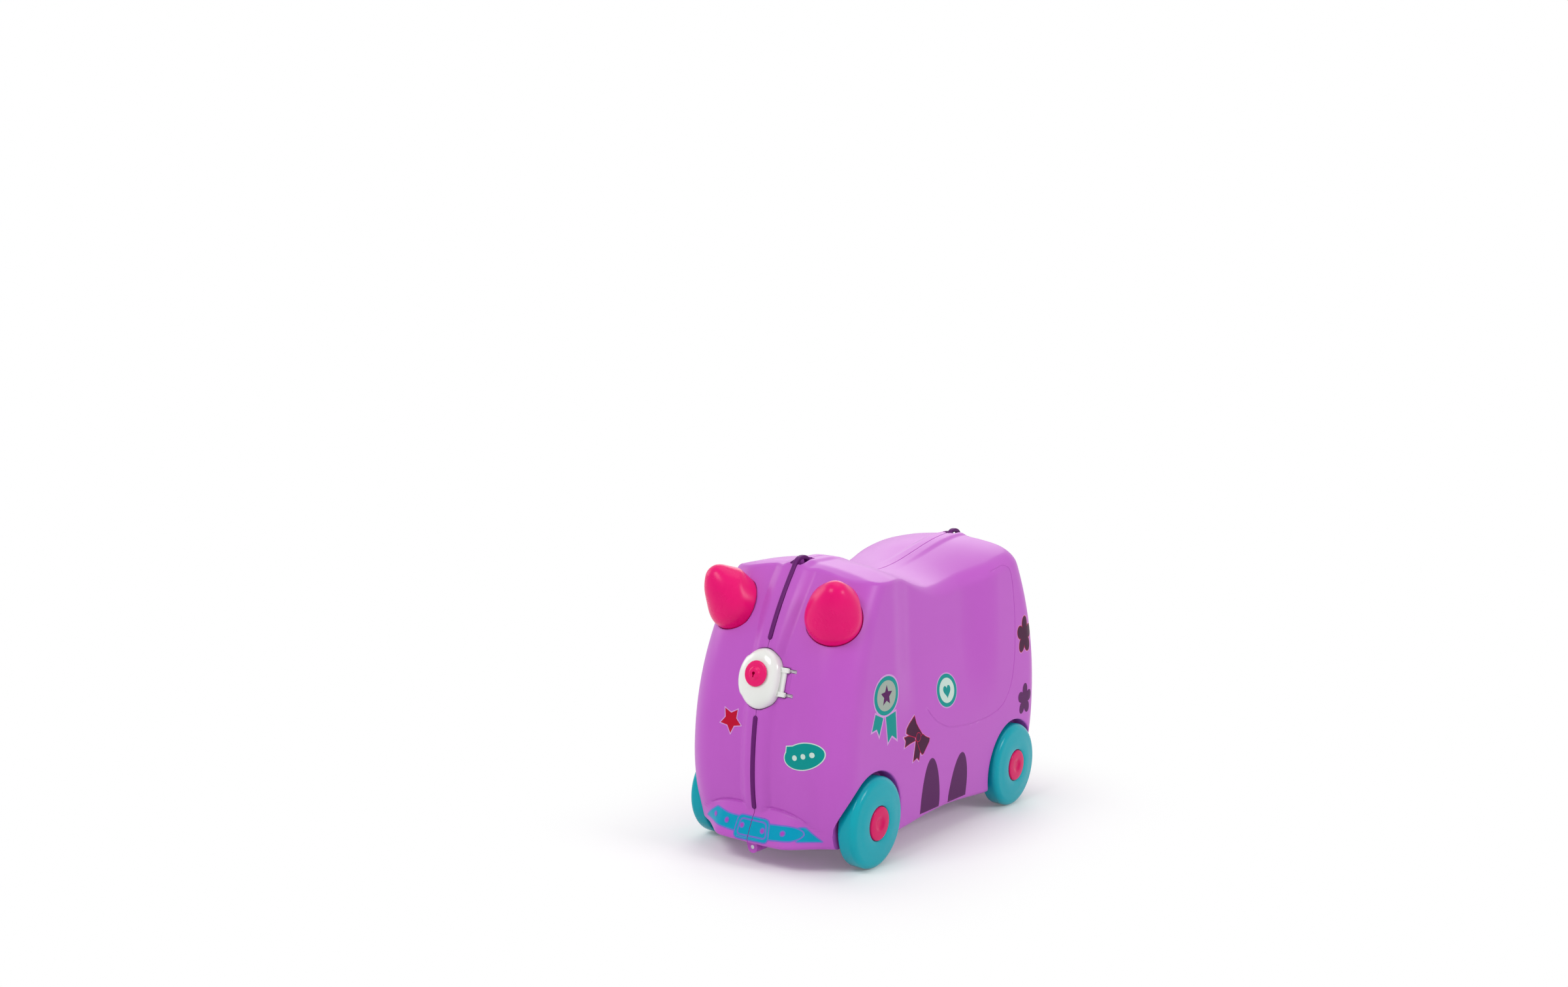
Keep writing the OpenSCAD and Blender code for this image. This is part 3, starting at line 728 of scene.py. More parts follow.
class Effects:
    """Shader groups that several finishes share, each built once."""

    def __init__(self) -> None:
        """Builds every group."""
        self.tone = self._tone()
        self.grain = self._grain()
        self.marks = self._marks()
        self.edges = self._edges()

    def _tone(self) -> Tree:
        """Slight unevenness of a moulded colour, with faint flow streaks."""
        d, i, o = shader_group("moulded_tone", {"Vector": (0.0, 0.0, 0.0), "Color": (0.5, 0.5, 0.5, 1.0),
                                                "Amount": 0.05}, {"Color": "Color", "Haze": "Float"})
        broad = d.noise(i.outputs["Vector"], 7.0, 3.0)
        flow = d.add("ShaderNodeMapping", {"Vector": i.outputs["Vector"], "Scale": (40.0, 5.0, 14.0)})
        streak = d.noise(flow.outputs[0], 1.0, 4.0, 0.6)
        both = d.math("ADD", d.times(broad, 0.65), d.times(streak, 0.35))
        shift = d.times(d.math("SUBTRACT", both, 0.5), i.outputs["Amount"])
        tint = d.add("ShaderNodeHueSaturation", {"Color": i.outputs["Color"],
                                                 "Value": d.math("ADD", d.times(shift, 2.0), 1.0),
                                                 "Saturation": d.math("SUBTRACT", 1.0, shift)})
        d.link(tint.outputs[0], o, "Color")
        d.link(d.noise(i.outputs["Vector"], 26.0, 5.0, 0.62), o, "Haze")
        return d.tree

    def _grain(self) -> Tree:
        """Height of a moulded skin: orange peel and a long soft wave."""
        d, i, o = shader_group("moulded_grain", {"Vector": (0.0, 0.0, 0.0), "Peel": 0.006, "Wave": 0.04,
                                                 "Pitch": 2.2}, {"Height": "Float"})
        peel = d.noise(i.outputs["Vector"], d.math("DIVIDE", 1000.0, i.outputs["Pitch"]), 3.0, 0.55)
        wave = d.noise(i.outputs["Vector"], 22.0, 1.0)
        total = d.math("ADD", d.times(peel, i.outputs["Peel"]),
                       d.times(wave, i.outputs["Wave"]))
        d.link(d.times(total, MM), o, "Height")
        return d.tree

    def _marks(self) -> Tree:
        """Hairline scratches in several directions, thicker where hands and floors rub."""
        d, i, o = shader_group("hairlines", {"Vector": (0.0, 0.0, 0.0), "Amount": 0.5}, {"Mask": "Float"})
        total: object = 0.0
        for k, (turn, scale) in enumerate(((0.35, 34.0), (1.2, 27.0), (2.4, 41.0), (-0.5, 22.0))):
            lie = d.add("ShaderNodeMapping", {"Vector": i.outputs["Vector"],
                                              "Rotation": (turn, 0.6 * turn, turn + k),
                                              "Scale": (scale, scale * 0.05, scale)})
            line = d.noise(lie.outputs[0], 2.0, 2.0)
            thin = d.math("SUBTRACT", 1.0, d.ramp(d.math("ABSOLUTE", d.math("SUBTRACT", line, 0.5)), 0.0,
                                                  0.006))
            total = d.math("MAXIMUM", thin, total)
        patch = d.ramp(d.noise(i.outputs["Vector"], 11.0, 3.0), 0.45, 0.7)
        mask = d.times(d.times(total, patch), i.outputs["Amount"], clamp=True)
        d.link(mask, o, "Mask")
        return d.tree

    def _edges(self) -> Tree:
        """Rubbed edges, and settled dust with painted shade in hollows and creases, from the piece's own edge
        attribute.
        """
        d, i, o = shader_group("edge_wear_and_crease_shade", {"Vector": (0.0, 0.0, 0.0), "Edge": 0.0, "Wear": 0.5,
                                                "Dust": 0.3},
                               {"Wear": "Float", "Dust": "Float"})
        broken = d.ramp(d.noise(i.outputs["Vector"], 160.0, 4.0, 0.65), 0.36, 0.62)
        high = d.ramp(i.outputs["Edge"], 0.22, 0.8)
        wear = d.times(d.times(high, broken), i.outputs["Wear"], clamp=True)
        # Hollows and creases, below 0 in the edge attribute, turn darker: settled dust and painted shade.
        low = d.ramp(d.times(i.outputs["Edge"], -1.0), 0.12, 0.7)
        dust = d.times(low, i.outputs["Dust"], clamp=True)
        d.link(wear, o, "Wear")
        d.link(dust, o, "Dust")
        return d.tree


EFFECTS = Effects()


# Finishes

def blank_material(name: str) -> tuple[bpy.types.Material, Draft, Node]:
    """New material with only a Principled shader and its output."""
    material = bpy.data.materials.new(name)
    material.use_nodes = True
    tree = material.node_tree
    tree.nodes.clear()
    d = Draft(tree)
    shader = d.add("ShaderNodeBsdfPrincipled")
    output = d.add("ShaderNodeOutputMaterial")
    tree.links.new(shader.outputs[0], output.inputs["Surface"])
    return material, d, shader


@dataclass(frozen=True)
class Moulded:
    """Moulded or printed plastic: its colour, gloss, skin and wear, with dust and painted shade darkening its
    hollows and creases.
    """

    name: str
    slot: str
    colour: tuple[int, int, int]
    rough: float = 0.24
    coat: float = 0.0
    peel: float = 0.003
    wave: float = 0.015
    pitch: float = 2.2
    tone: float = 0.05
    marks: float = 0.15
    wear: float = 0.3
    # How much hollows and creases darken: settled dust and painted shade.
    dust: float = 0.35
    shine: float = 0.3

    def make(self) -> bpy.types.Material:
        """Draws up the material, or returns it when it is there already."""
        found = bpy.data.materials.get(self.name)
        if found:
            return found
        material, d, shader = blank_material(self.name)
        where = d.add("ShaderNodeTexCoord").outputs["Object"]
        edge = d.add("ShaderNodeAttribute", attribute_name="edge").outputs["Fac"]
        tone = d.add("ShaderNodeGroup", node_tree=EFFECTS.tone)
        marks = d.add("ShaderNodeGroup", node_tree=EFFECTS.marks)
        wear_and_shade = d.add("ShaderNodeGroup", node_tree=EFFECTS.edges)
        grain = d.add("ShaderNodeGroup", node_tree=EFFECTS.grain)
        for node in (tone, marks, wear_and_shade, grain):
            d.link(where, node, "Vector")
        tone.inputs["Color"].default_value = linear(self.colour)
        tone.inputs["Amount"].default_value = self.tone
        marks.inputs["Amount"].default_value = self.marks
        d.link(edge, wear_and_shade, "Edge")
        wear_and_shade.inputs["Wear"].default_value = self.wear
        wear_and_shade.inputs["Dust"].default_value = self.dust
        grain.inputs["Peel"].default_value = self.peel
        grain.inputs["Wave"].default_value = self.wave
        grain.inputs["Pitch"].default_value = self.pitch
        pale = linear([c + (255 - c) * 0.4 for c in self.colour])
        # dark is the colour of hollows and creases: settled dust and painted shade.
        dark = linear([c * 0.55 for c in self.colour])
        colour = d.mix(wear_and_shade.outputs["Wear"], tone.outputs["Color"], pale)
        # Painted shade with dust: hollows and creases mix towards the dark colour.
        colour = d.mix(wear_and_shade.outputs["Dust"], colour, dark)
        colour = d.mix(d.times(marks.outputs["Mask"], 0.12), colour, pale)
        haze = d.times(d.math("SUBTRACT", tone.outputs["Haze"], 0.5), 0.08)
        rough = d.math("ADD", d.math("ADD", haze, self.rough), d.times(marks.outputs["Mask"], 0.2))
        rough = d.math("ADD", rough, d.times(wear_and_shade.outputs["Wear"], 0.15), clamp=True)
        bump = d.add("ShaderNodeBump", {"Height": grain.outputs["Height"], "Strength": 1.0, "Distance": 1.0})
        d.link(colour, shader, "Base Color")
        d.link(rough, shader, "Roughness")
        d.link(bump.outputs[0], shader, "Normal")
        shader.inputs["IOR"].default_value = 1.49
        shader.inputs["Specular IOR Level"].default_value = self.shine
        shader.inputs["Coat Weight"].default_value = self.coat
        shader.inputs["Coat Roughness"].default_value = 0.08
        return material


@dataclass(frozen=True)
class Plated:
    """Zinc-plated steel, brushed along its length, with its edges eased."""

    name: str
    slot: str
    colour: tuple[int, int, int] = (196, 198, 204)
    rough: float = 0.3
    brush: Point3 = (900.0, 30.0, 900.0)

    def make(self) -> bpy.types.Material:
        """Draws up the material, or returns it when it is there already."""
        found = bpy.data.materials.get(self.name)
        if found:
            return found
        material, d, shader = blank_material(self.name)
        where = d.add("ShaderNodeTexCoord").outputs["Object"]
        lie = d.add("ShaderNodeMapping", {"Vector": where, "Scale": self.brush})
        brushed = d.noise(lie.outputs[0], 1.0, 4.0, 0.6)
        patch = d.noise(where, 120.0, 5.0, 0.6)
        marks = d.add("ShaderNodeGroup", {"Vector": where, "Amount": 0.8}, node_tree=EFFECTS.marks)
        colour = d.mix(d.ramp(patch, 0.3, 0.75), linear(self.colour), linear([c * 0.86 for c in self.colour]))
        colour = d.mix(d.times(marks.outputs["Mask"], 0.3), colour, linear((235, 236, 240)))
        rough = d.math("ADD", d.times(brushed, 0.22), self.rough - 0.08, clamp=True)
        ease = d.add("ShaderNodeBevel", {"Radius": 0.0004}, samples=4)
        height = d.times(brushed, 0.006 * MM)
        bump = d.add("ShaderNodeBump", {"Height": height, "Strength": 1.0, "Distance": 1.0,
                                        "Normal": ease.outputs[0]})
        d.link(colour, shader, "Base Color")
        d.link(rough, shader, "Roughness")
        d.link(bump.outputs[0], shader, "Normal")
        shader.inputs["Metallic"].default_value = 1.0
        return material


Finish = Moulded | Plated

SHELL = Moulded("shell_purple", "shell", (185, 87, 192), rough=0.36, peel=0.0035, shine=0.25)
# The inside takes the shell's purple about a tenth darker: painted shade for the inside of the shell.
LINING = Moulded("shell_inside", "shell", (166, 76, 174), rough=0.45, peel=0.012, pitch=1.1, shine=0.25)
TRIM = Moulded("soft_strip", "trim", (96, 26, 104), rough=0.42, peel=0.008, pitch=1.2, wear=0.2, shine=0.12)
WHEEL = Moulded("wheel_teal", "wheel", (0, 160, 174), rough=0.18, wear=0.4, marks=0.4, shine=0.18)
CAP = Moulded("cap_pink", "cap", (210, 0, 94), rough=0.2, shine=0.15)
GRIP = Moulded("grip_pink", "grip", (226, 0, 108), rough=0.28, shine=0.18)
COVER = Moulded("catch_white", "cover", (228, 230, 226), rough=0.16, coat=0.3, peel=0.002, tone=0.02,
                shine=0.5)
KNOB = Moulded("knob_pink", "knob", (226, 0, 104), rough=0.24, shine=0.25)
STEEL = Plated("bright_steel", "steel")


class Ink(Enum):
    """Colours of the printed labels, as display values."""

    TEAL = (0, 142, 138)
    PALE = (196, 218, 208)
    STONE = (158, 170, 160)
    CREAM = (204, 152, 212)
    RED = (184, 6, 46)
    MAROON = (66, 0, 52)
    PLUM = (84, 18, 86)
    PINK = (184, 12, 70)
    BLUE = (0, 152, 184)
    SKY = (112, 108, 196)
    VIOLET = (168, 66, 180)

    @property
    def finish(self) -> Moulded:
        """Smooth printed film in this colour."""
        return Moulded("film_" + self.name.lower(), "", self.value, rough=0.34, peel=0.0004,
                       wave=0.003, tone=0.0, marks=0.0, wear=0.1, dust=0.1, shine=0.1)


# Putting a finished piece on its body

SHARP_BEND = 1500.0


def mark_edges(obj: Obj, passes: int = 2) -> None:
    """Stores how sharply each point of a mesh bends: above 0 on edges, below 0 in corners.

    Args:
        obj: The piece.
        passes: How often the value is spread to neighbours.
    """
    mesh = obj.data
    n = len(mesh.vertices)
    co, normal = np.empty(n * 3), np.empty(n * 3)
    mesh.vertices.foreach_get("co", co)
    mesh.vertices.foreach_get("normal", normal)
    co, normal = co.reshape(n, 3), normal.reshape(n, 3)
    ends = np.empty(len(mesh.edges) * 2, int)
    mesh.edges.foreach_get("vertices", ends)
    a, b = ends.reshape(-1, 2).T
    span = co[b] - co[a]
    bend = np.einsum("ij,ij->i", normal[b] - normal[a], span) / np.maximum(np.einsum("ij,ij->i", span, span),
                                                                           1e-12)
    count = np.bincount(a, minlength=n) + np.bincount(b, minlength=n)
    value = (np.bincount(a, bend, n) + np.bincount(b, bend, n)) / np.maximum(count, 1)
    value = np.clip(value / SHARP_BEND, -1, 1)
    for _ in range(passes):
        around = (np.bincount(a, value[b], n) + np.bincount(b, value[a], n)) / np.maximum(count, 1)
        value = 0.5 * value + 0.5 * around
    mesh.attributes.new("edge", "FLOAT", "POINT").data.foreach_set("value", value)


def fit(obj: Obj, body: str, finish: Finish, nodes: Sequence[str] = (),
        angle: float = 32.0) -> Obj:
    """Dresses a finished piece and puts it on its body.

    Args:
        obj: The piece, with its place in its mesh.
        body: Name of the body that carries it.
        finish: Its main finish, used where it has no material yet.
        nodes: CAD nodes that it stands for.
        angle: Edges sharper than this stay crisp.

    Returns:
        The piece.
    """
    if not any(obj.data.materials):
        obj.data.materials.clear()
        obj.data.materials.append(finish.make())
    shade(obj, angle)
    mark_edges(obj)
    if nodes:
        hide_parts(*nodes)
    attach(obj, body)
    LOG.info("%s: %d faces on %s", obj.name, len(obj.data.polygons), body)
    return obj


def dress_node(node: str, finish: Finish) -> None:
    """Gives a CAD node that keeps its own shape its finish."""
    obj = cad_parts[node]
    material = finish.make()
    if not obj.material_slots:
        obj.data.materials.append(material)
    for slot in obj.material_slots:
        slot.material = material
    LOG.info("%s: keeps its shape", node)


# The two half shells

def ray_heights(skin: Skin, place: Matrix, outline: Outline, high: float) -> list[float]:
    """Height of the skin over each point of an outline, in a place's own frame.

    Args:
        skin: The outer skin.
        place: Frame whose Z points out of the skin.
        outline: Points across the place.
        high: Height from which the rays start.

    Returns:
        One height for each point; a ray that misses takes the nearest found height.
    """
    back = place.inverted()
    out = (place.to_3x3() @ Vector((0, 0, 1))).normalized()
    heights: list[float | None] = []
    for x, y in outline:
        hit = skin.find(place @ Vector((x, y, high)), -out)
        heights.append((back @ hit[0]).z if hit else None)
    n = len(heights)
    filled = []
    for i, value in enumerate(heights):
        step = 0
        while value is None and step < n:
            step += 1
            value = next((heights[(i + s) % n] for s in (step, -step) if heights[(i + s) % n] is not None),
                         None)
        filled.append(value)
    return filled


def flared(name: str, outline: Outline, low: float, place: Matrix, skin: Skin,
           rounding: float = 1.0, high: float = 30.0) -> Obj:
    """Cutter that leaves a rounded edge where it meets the skin.

    Args:
        name: Name of the cutter.
        outline: Outline of the opening, star-shaped about its middle.
        low: Depth of its floor in the place's frame.
        place: Frame of the opening, Z outward.
        skin: The outer skin.
        rounding: Radius of the edge.
        high: Height where the cutter ends.

    Returns:
        The closed cutter.
    """
    surface = np.array(ray_heights(skin, place, grown(outline, rounding * 0.5), high))
    surface = np.maximum(surface, low + rounding + 0.2)
    rings = [(0.0, None, low), (0.0, -rounding, None)]
    rings += [(rounding * (1 - math.cos(a)), rounding * (math.sin(a) - 1), None)
              for a in np.radians((15, 30, 45, 60, 72))]
    rings += [(rounding * 1.05, rounding * 0.12, None), (rounding * 1.15, None, high)]
    n = len(outline)
    verts: list[Point3] = []
    for grow, lift, level in rings:
        ring = grown(outline, grow) if grow else list(outline)
        verts += [(x, y, level if level is not None else s + lift) for (x, y), s in zip(ring, surface)]
    middle = np.mean(np.asarray(outline), 0)
    verts += [(middle[0], middle[1], low), (middle[0], middle[1], high)]
    faces = bands(len(rings) - 1, n)
    last = (len(rings) - 1) * n
    faces += [[(k + 1) % n, k, len(verts) - 2] for k in range(n)]
    faces += [[last + k, last + (k + 1) % n, len(verts) - 1] for k in range(n)]
    return new_object(name, np.array([place @ Vector(v) for v in verts]), faces)


def quarter(x: float, y: float, wide: float, tall: float, stop: float, steps: int) -> list[Point2]:
    """Outward rounding about (x, y), from 0 to stop degrees."""
    return [(x + wide * math.cos(a), y + tall * math.sin(a)) for a in np.radians(np.linspace(0, stop, steps))]


def circle(radius: float, steps: int, centre: Point2 = (0.0, 0.0)) -> list[Point2]:
    """Points of a circle."""
    return arc_points(centre, radius, 0, 360 - 360 / steps, steps - 1)


def rounded_box(low: Point2, high: Point2, radius: float, steps: int = 6) -> list[Point2]:
    """Points of a rectangle with round corners, anticlockwise."""
    (x0, y0), (x1, y1), r = low, high, radius
    corners = [((x1 - r, y0 + r), -90), ((x1 - r, y1 - r), 0), ((x0 + r, y1 - r), 90),
               ((x0 + r, y0 + r), 180)]
    return [p for centre, a in corners for p in arc_points(centre, r, a, a + 90, steps)]


def cover_outline(grow: float, step: float = 3.0) -> list[Point2]:
    """Outline of a catch cover: an oval, straighter by its hinge, with a finger tab opposite.

    Args:
        grow: Distance outward.
        step: Degrees between points.

    Returns:
        Points, anticlockwise.
    """
    left, right, tall = 25.2, 21.6, 30.4
    points = []
    for a in np.arange(0, 360, step):
        c, s = math.cos(math.radians(a)), math.sin(math.radians(a))
        tab = 1.5 * (1 - smooth(38, 47, abs(a - 178)))
        wide = left + grow if c < 0 else (right + grow) * (1 + 0.07 * math.sin(math.radians(2 * a)) ** 2)
        points.append((wide * c - tab, (tall + grow) * s))
    return points


@dataclass
class Shells:
    """The two half shells with their wells, sockets, seats, strap eyes and hinge lugs."""

    skin: Skin
    wall: float = 2.6
    rim: float = 3.4
    well_r: float = 51.5
    well_x: float = 80.4
    hub_in: float = 62.0
    axle_d: float = 8.0
    grip_r: float = 28.8
    eyes: tuple[float, float] = (-146.5, 161.5)
    hinge_z: float = 18.5
    hinge_ys: Point3 = (-206.0, 0.0, 206.0)
    knuckle_r: float = 6.0
    pin_d: float = 4.0
    knob_up: float = 4.0
    pivot: tuple[float, float] = (33.5, -10.3)
    arm_y: float = 12.0
    keeper_z: float = -5.5
    panel: tuple[Point2, ...] = ((-50, 148), (-34, 132), (-12, 120), (11, 115), (50, 112.5), (90, 114),
                                 (118, 122),
                                 (134, 140), (141, 165), (143, 201), (140, 247), (135, 268), (123, 275.5),
                                 (106, 274), (88, 270.5))

    def hollow(self) -> Obj:
        """Room inside a half, less what stands in it."""
        room = HalfBody(depth=self.wall, seam=-1.0, rim=self.rim, runs=np.linspace(0, 1, 26),
                        arcs=np.linspace(9, 90, 10), spans=60, wall_rows=48, round_rows=3).build("hollow")
        room.data.materials.append(LINING.make())
        grip = GripPlace().matrix
        for end in (-1, 1):
            wheel = wheel_place(1, end)
            catch = CatchPlace(end).matrix
            low = self.well_x - self.wall
            solids = [prism("well_wall", circle(self.well_r + self.wall, 120), low, low + 60, wheel),
                      prism("hub_boss", circle(9, 48), self.hub_in, self.hub_in + 30, wheel),
                      block("catch_block", (-2, -34, -18), (44, 34, 12), catch)]
            base = self.hub_in + 6
            solids += [block("web", (-1, -49, base), (1, 49, base + 20), wheel),
                       block("web", (-49, -1, base), (49, 1, base + 20), wheel)]
            for solid in solids:
                carve(room, solid)
        carve(room, prism("grip_cup", circle(self.grip_r + self.wall, 96), -10, 10, grip))
        for y in self.eyes:
            carve(room, block("eye_block", (-2, y - 16, FORM.crest - 15), (12, y + 16, FORM.crest + 15),
                              Matrix.Identity(4)))
        return room

    def seats(self, half: Obj, side: int) -> None:
        """Cuts the catch seats and what belongs to one side of them."""
        for end in (-1, 1):
            place = CatchPlace(end).matrix
            carve(half, flared("seat", cover_outline(0.6), -5.4, place, self.skin, 0.9))
            if side > 0:
                carve(half, flared("hinge_seat", rounded_box((12, -15.4), (31.6, 15.4), 1.5), -5.6, place,
                                   self.skin, 0.6))
            up = self.knob_up
            carve(half, prism("lock_room", circle(6.5, 48, (0, up)), -10.5, 9.5, place))
            carve(half, block("lock_room", (-6.5, up, -10.5), (6.5, up + 15, 9.5), place))
            if side > 0:
                self._pivots(half, place)
            else:
                self._keeper(half, place)

    def _pivots(self, half: Obj, place: Matrix) -> None:
        """Pockets for the two arms of a cover, and the hole for their pin."""
        x, z = self.pivot
        across = side_on(place)
        slot = arc_points((x, -z), 3.6, 0, 180, 24) + [(18, -z), (18, -z - 30), (x + 3.6, -z - 30)]
        for y in (-self.arm_y, self.arm_y):
            carve(half, prism("arm_pocket", slot, y - 1.8, y + 1.8, across))
            carve(half, prism("arm_pocket", [(18, -z), (29.2, -z), (29.2, -z - 30), (18, -z - 30)][::-1],
                              y - 2.8, y + 2.8, across))
        carve(half, prism("pin_hole", circle(1.5, 24, (x, -z)), -17, 17, across))

    def _keeper(self, half: Obj, place: Matrix) -> None:
        """Seat of the keeper and the sweep of the lock's finger."""
        up = self.knob_up
        sweep = prism("finger_sweep", circle(14.6, 72, (0, up)), -10.5, 1.5, place)
        carve(sweep, block("sweep_box", (-20, up - 6.5, -12), (0, up + 17.5, 8), place), "INTERSECT")
        carve(half, sweep)
        z = self.keeper_z - 1.2
        carve(half, block("keeper_seat", (-20.3, -5.3, z), (-6.5, 17.3, z + 12), place))

    def lugs(self, side: int) -> Obj | None:
        """Hinge knuckles under the belly: two on the left half, one between them on the right."""
        joined = None
        spans = [(-12.0, 7.0), (5.0, 7.0)] if side < 0 else [(-4.7, 9.4)]
        for y in self.hinge_ys:
            place = side_on(Matrix.Translation((0, y, self.hinge_z)))
            for start, length in spans:
                stop = start + length
                lug = prism("lug", circle(self.knuckle_r, 64), start, stop, place)
                web = [(0.3, 0.0), (self.knuckle_r, 0.0), (11.0, -12.0), (0.3, -12.0)]
                carve(lug, prism("web", [(side * u, v) for u, v in web], start, stop, place), "UNION")
                hole = self.pin_d / 2 + (0.05 if side > 0 else 0)
                carve(lug, prism("hole", circle(hole, 48), start - 1, stop + 1, place))
                top = FORM.belly + (6.5 if y == 0 else 2)
                if y == 0:
                    carve(lug, block("hollow_cut", (-100, -100, top), (100, 100, top + 40),
                                     Matrix.Identity(4)))
                else:
                    inner = sorted((math.copysign(214.0, y), math.copysign(100.0, y)))
                    carve(lug, block("hollow_cut", (-100, inner[0], top), (100, inner[1], top + 40),
                                     Matrix.Identity(4)))
                if joined is None:
                    joined = lug
                else:
                    carve(joined, lug, "UNION")
        return joined

    def panel_line(self) -> Obj:
        """Tube round the leg recess that leaves a shallow line when it is cut away."""
        radius, depth = 1.1, 0.5
        points = []
        for y, z in flowing(self.panel, 10):
            point, normal = self.skin.find(Vector((300, y, z)), Vector((-1, 0, 0)))
            points.append(point + normal * (radius - depth))
        count = np.arange(len(points))
        fade = np.minimum(1, np.minimum(count, count[::-1]) / 6 + 0.3)
        return tube("panel_line", np.array(points), radius * fade, 12)

    def build(self, side: int) -> Obj:
        """Makes one half shell.

        Args:
            side: 1 for the right half, -1 for the left.

        Returns:
            The finished half, not yet dressed.
        """
        half = fine_body(FORM.seam_x, 0.6).build("shell_right" if side > 0 else "shell_left")
        half.data.materials.append(SHELL.make())
        carve(half, self.hollow())
        for end in (-1, 1):
            place = wheel_place(1, end)
            carve(half, flared("well", circle(self.well_r, 180), self.well_x, place, self.skin, 1.6, 140))
            carve(half, prism("axle_hole", circle(self.axle_d / 2, 48), self.hub_in + 4, 130, place))
        carve(half, flared("socket", circle(self.grip_r, 120), -7, GripPlace().matrix, self.skin, 1.2))
        for y in self.eyes:
            sides = rounded_box((-8, y - 12.5), (8, y + 12.5), 3.0)
            carve(half, prism("eye", sides, FORM.crest - 11, FORM.crest + 19, Matrix.Identity(4)))
        for strip in STRIPS:
            carve(half, strip.slot())
        carve(half, self.panel_line())
        if side < 0:
            mirrored(half)
        self.seats(half, side)
        carve(half, self.lugs(side), "UNION")
        return half

    def make(self) -> None:
        """Makes and dresses both halves."""
        fit(self.build(-1), "case_left", SHELL, ["case_left"])
        fit(self.build(1), "case_right", SHELL, ["case_right"])


# The soft strips in the seam

@dataclass(frozen=True)
class SeamStrip:
    """One soft strip pressed into the seam; the upper ones run on over a strap eye."""

    name: str
    end: int
    low: float
    high: float
    over_eye: bool
    width: float = 5.0
    proud: float = 1.0
    deep: float = 2.6
    gap: float = 0.3

    def path(self, more: float = 0.0, steps: int = 60) -> Array:
        """Centre line as (y, z) points, longer by more at its free ends."""
        z = np.linspace(self.low - more, self.high + (0 if self.over_eye else more), steps)
        lean = FORM.front_lean if self.end < 0 else FORM.rear_lean
        y = self.end * (FORM.face(z, lean) + FORM.ridge_h)
        points = np.stack([y, z], 1)
        if not self.over_eye:
            return points
        e, c = self.end, FORM.crest + 5.2
        top = [(3.2, c - 4.6), (8.4, c - 1.1), (15.4, c), (21.6, c - 1.6), (25.0, c - 6.0),
               (25.6, FORM.crest - 11)]
        bend = flowing([points[-4], points[-1]] + [(y[-1] - e * u, v) for u, v in top], 8)
        return np.vstack([points[:-4], bend])

    def slot(self) -> Obj:
        """Cutter for the groove that the strip lies in."""
        path = self.closer(self.path(self.gap, 40))
        return self.sweep("strip_slot", path, self.width / 2 + self.gap, 6.0, self.deep + self.gap, False)

    def closer(self, path: Array) -> Array:
        """Path with more points by its free ends, for their round shape."""
        parts = (0, 0.04, 0.1, 0.2, 0.35, 0.6)
        ends = [path[0] + (path[1] - path[0]) * f for f in parts]
        tail = [path[-1] + (path[-2] - path[-1]) * f for f in reversed(parts)]
        return np.vstack([ends, path[1:-1]] + ([[path[-1]]] if self.over_eye else [tail]))

    def sweep(self, name: str, path: Array, half: float, up: float, down: float,
              soft: bool) -> Obj:
        """Solid along the path with a flat-topped section.

        Args:
            name: Name of the solid.
            path: Centre line as (y, z) points.
            half: Half of its width.
            up: How far it stands out.
            down: How deep it goes.
            soft: Whether its top edges are rounded.

        Returns:
            The closed solid.
        """
        t = np.gradient(path, axis=0)
        t /= np.linalg.norm(t, axis=1)[:, None]
        out = np.stack([-t[:, 1], t[:, 0]], 1) * (1 if self.end < 0 else -1)
        run = np.concatenate([[0], np.cumsum(np.linalg.norm(np.diff(path, axis=0), axis=1))])
        r = min(0.8, up) if soft else 0.0
        if soft:
            side = [(half, -down), (half, up - r)] + [(half - r + r * math.cos(a), up - r + r * math.sin(a))
                                                      for a in np.radians((22, 45, 68, 90))]
            crown = [(half * 0.5, up + 0.10), (0.0, up + 0.14)]
            section = side + crown + [(-u, v) for u, v in reversed(side + crown[:-1])]
        else:
            section = [(half, -down), (half, up), (-half, up), (-half, -down)]
        n, rows, verts = len(section), len(path), []
        for i in range(rows):
            free = run[i] if self.over_eye else min(run[i], run[-1] - run[i])
            share = max(math.sqrt(max(0.0, 1 - (1 - min(1.0, free / half)) ** 2)), 0.05)
            rise = 0.4 + 0.6 * share if soft else 1.0
            for u, v in section:
                y, z = path[i] + out[i] * (v if v < 0 else v * rise)
                verts.append((u * share, y, z))
        faces = bands(rows - 1, n)
        faces += [list(range(n))[::-1], list(range((rows - 1) * n, rows * n))]
        return new_object(name, np.array(verts), faces)

    def make(self) -> None:
        """Makes the strip with round free ends."""
        path = self.closer(self.path(0.0, 60))
        strip = self.sweep("strip_" + self.name, path, self.width / 2, self.proud, self.deep, True)
        fit(strip, "case_left", TRIM, ["trim_" + self.name], 40)


STRIPS = (SeamStrip("front_upper", -1, 226, 294, True), SeamStrip("front_lower", -1, 57.5, 152, False),
          SeamStrip("rear_upper", 1, 226, 294, True), SeamStrip("rear_lower", 1, 57.5, 152, False))


# Printed films on the shells

def star(radius: float, first: float, inner: float = 0.47, tips: int = 5) -> list[Point2]:
    """Star outline with its first tip at an angle in degrees."""
    return [(r * math.cos(math.radians(a)), r * math.sin(math.radians(a)))
            for k in range(2 * tips)
            for r, a in (((radius if k % 2 == 0 else radius * inner), first + k * 180 / tips),)]


def moved(points: Iterable[Point2], x: float, y: float) -> list[Point2]:
    """Points moved by x and y."""
    return [(px + x, py + y) for px, py in points]


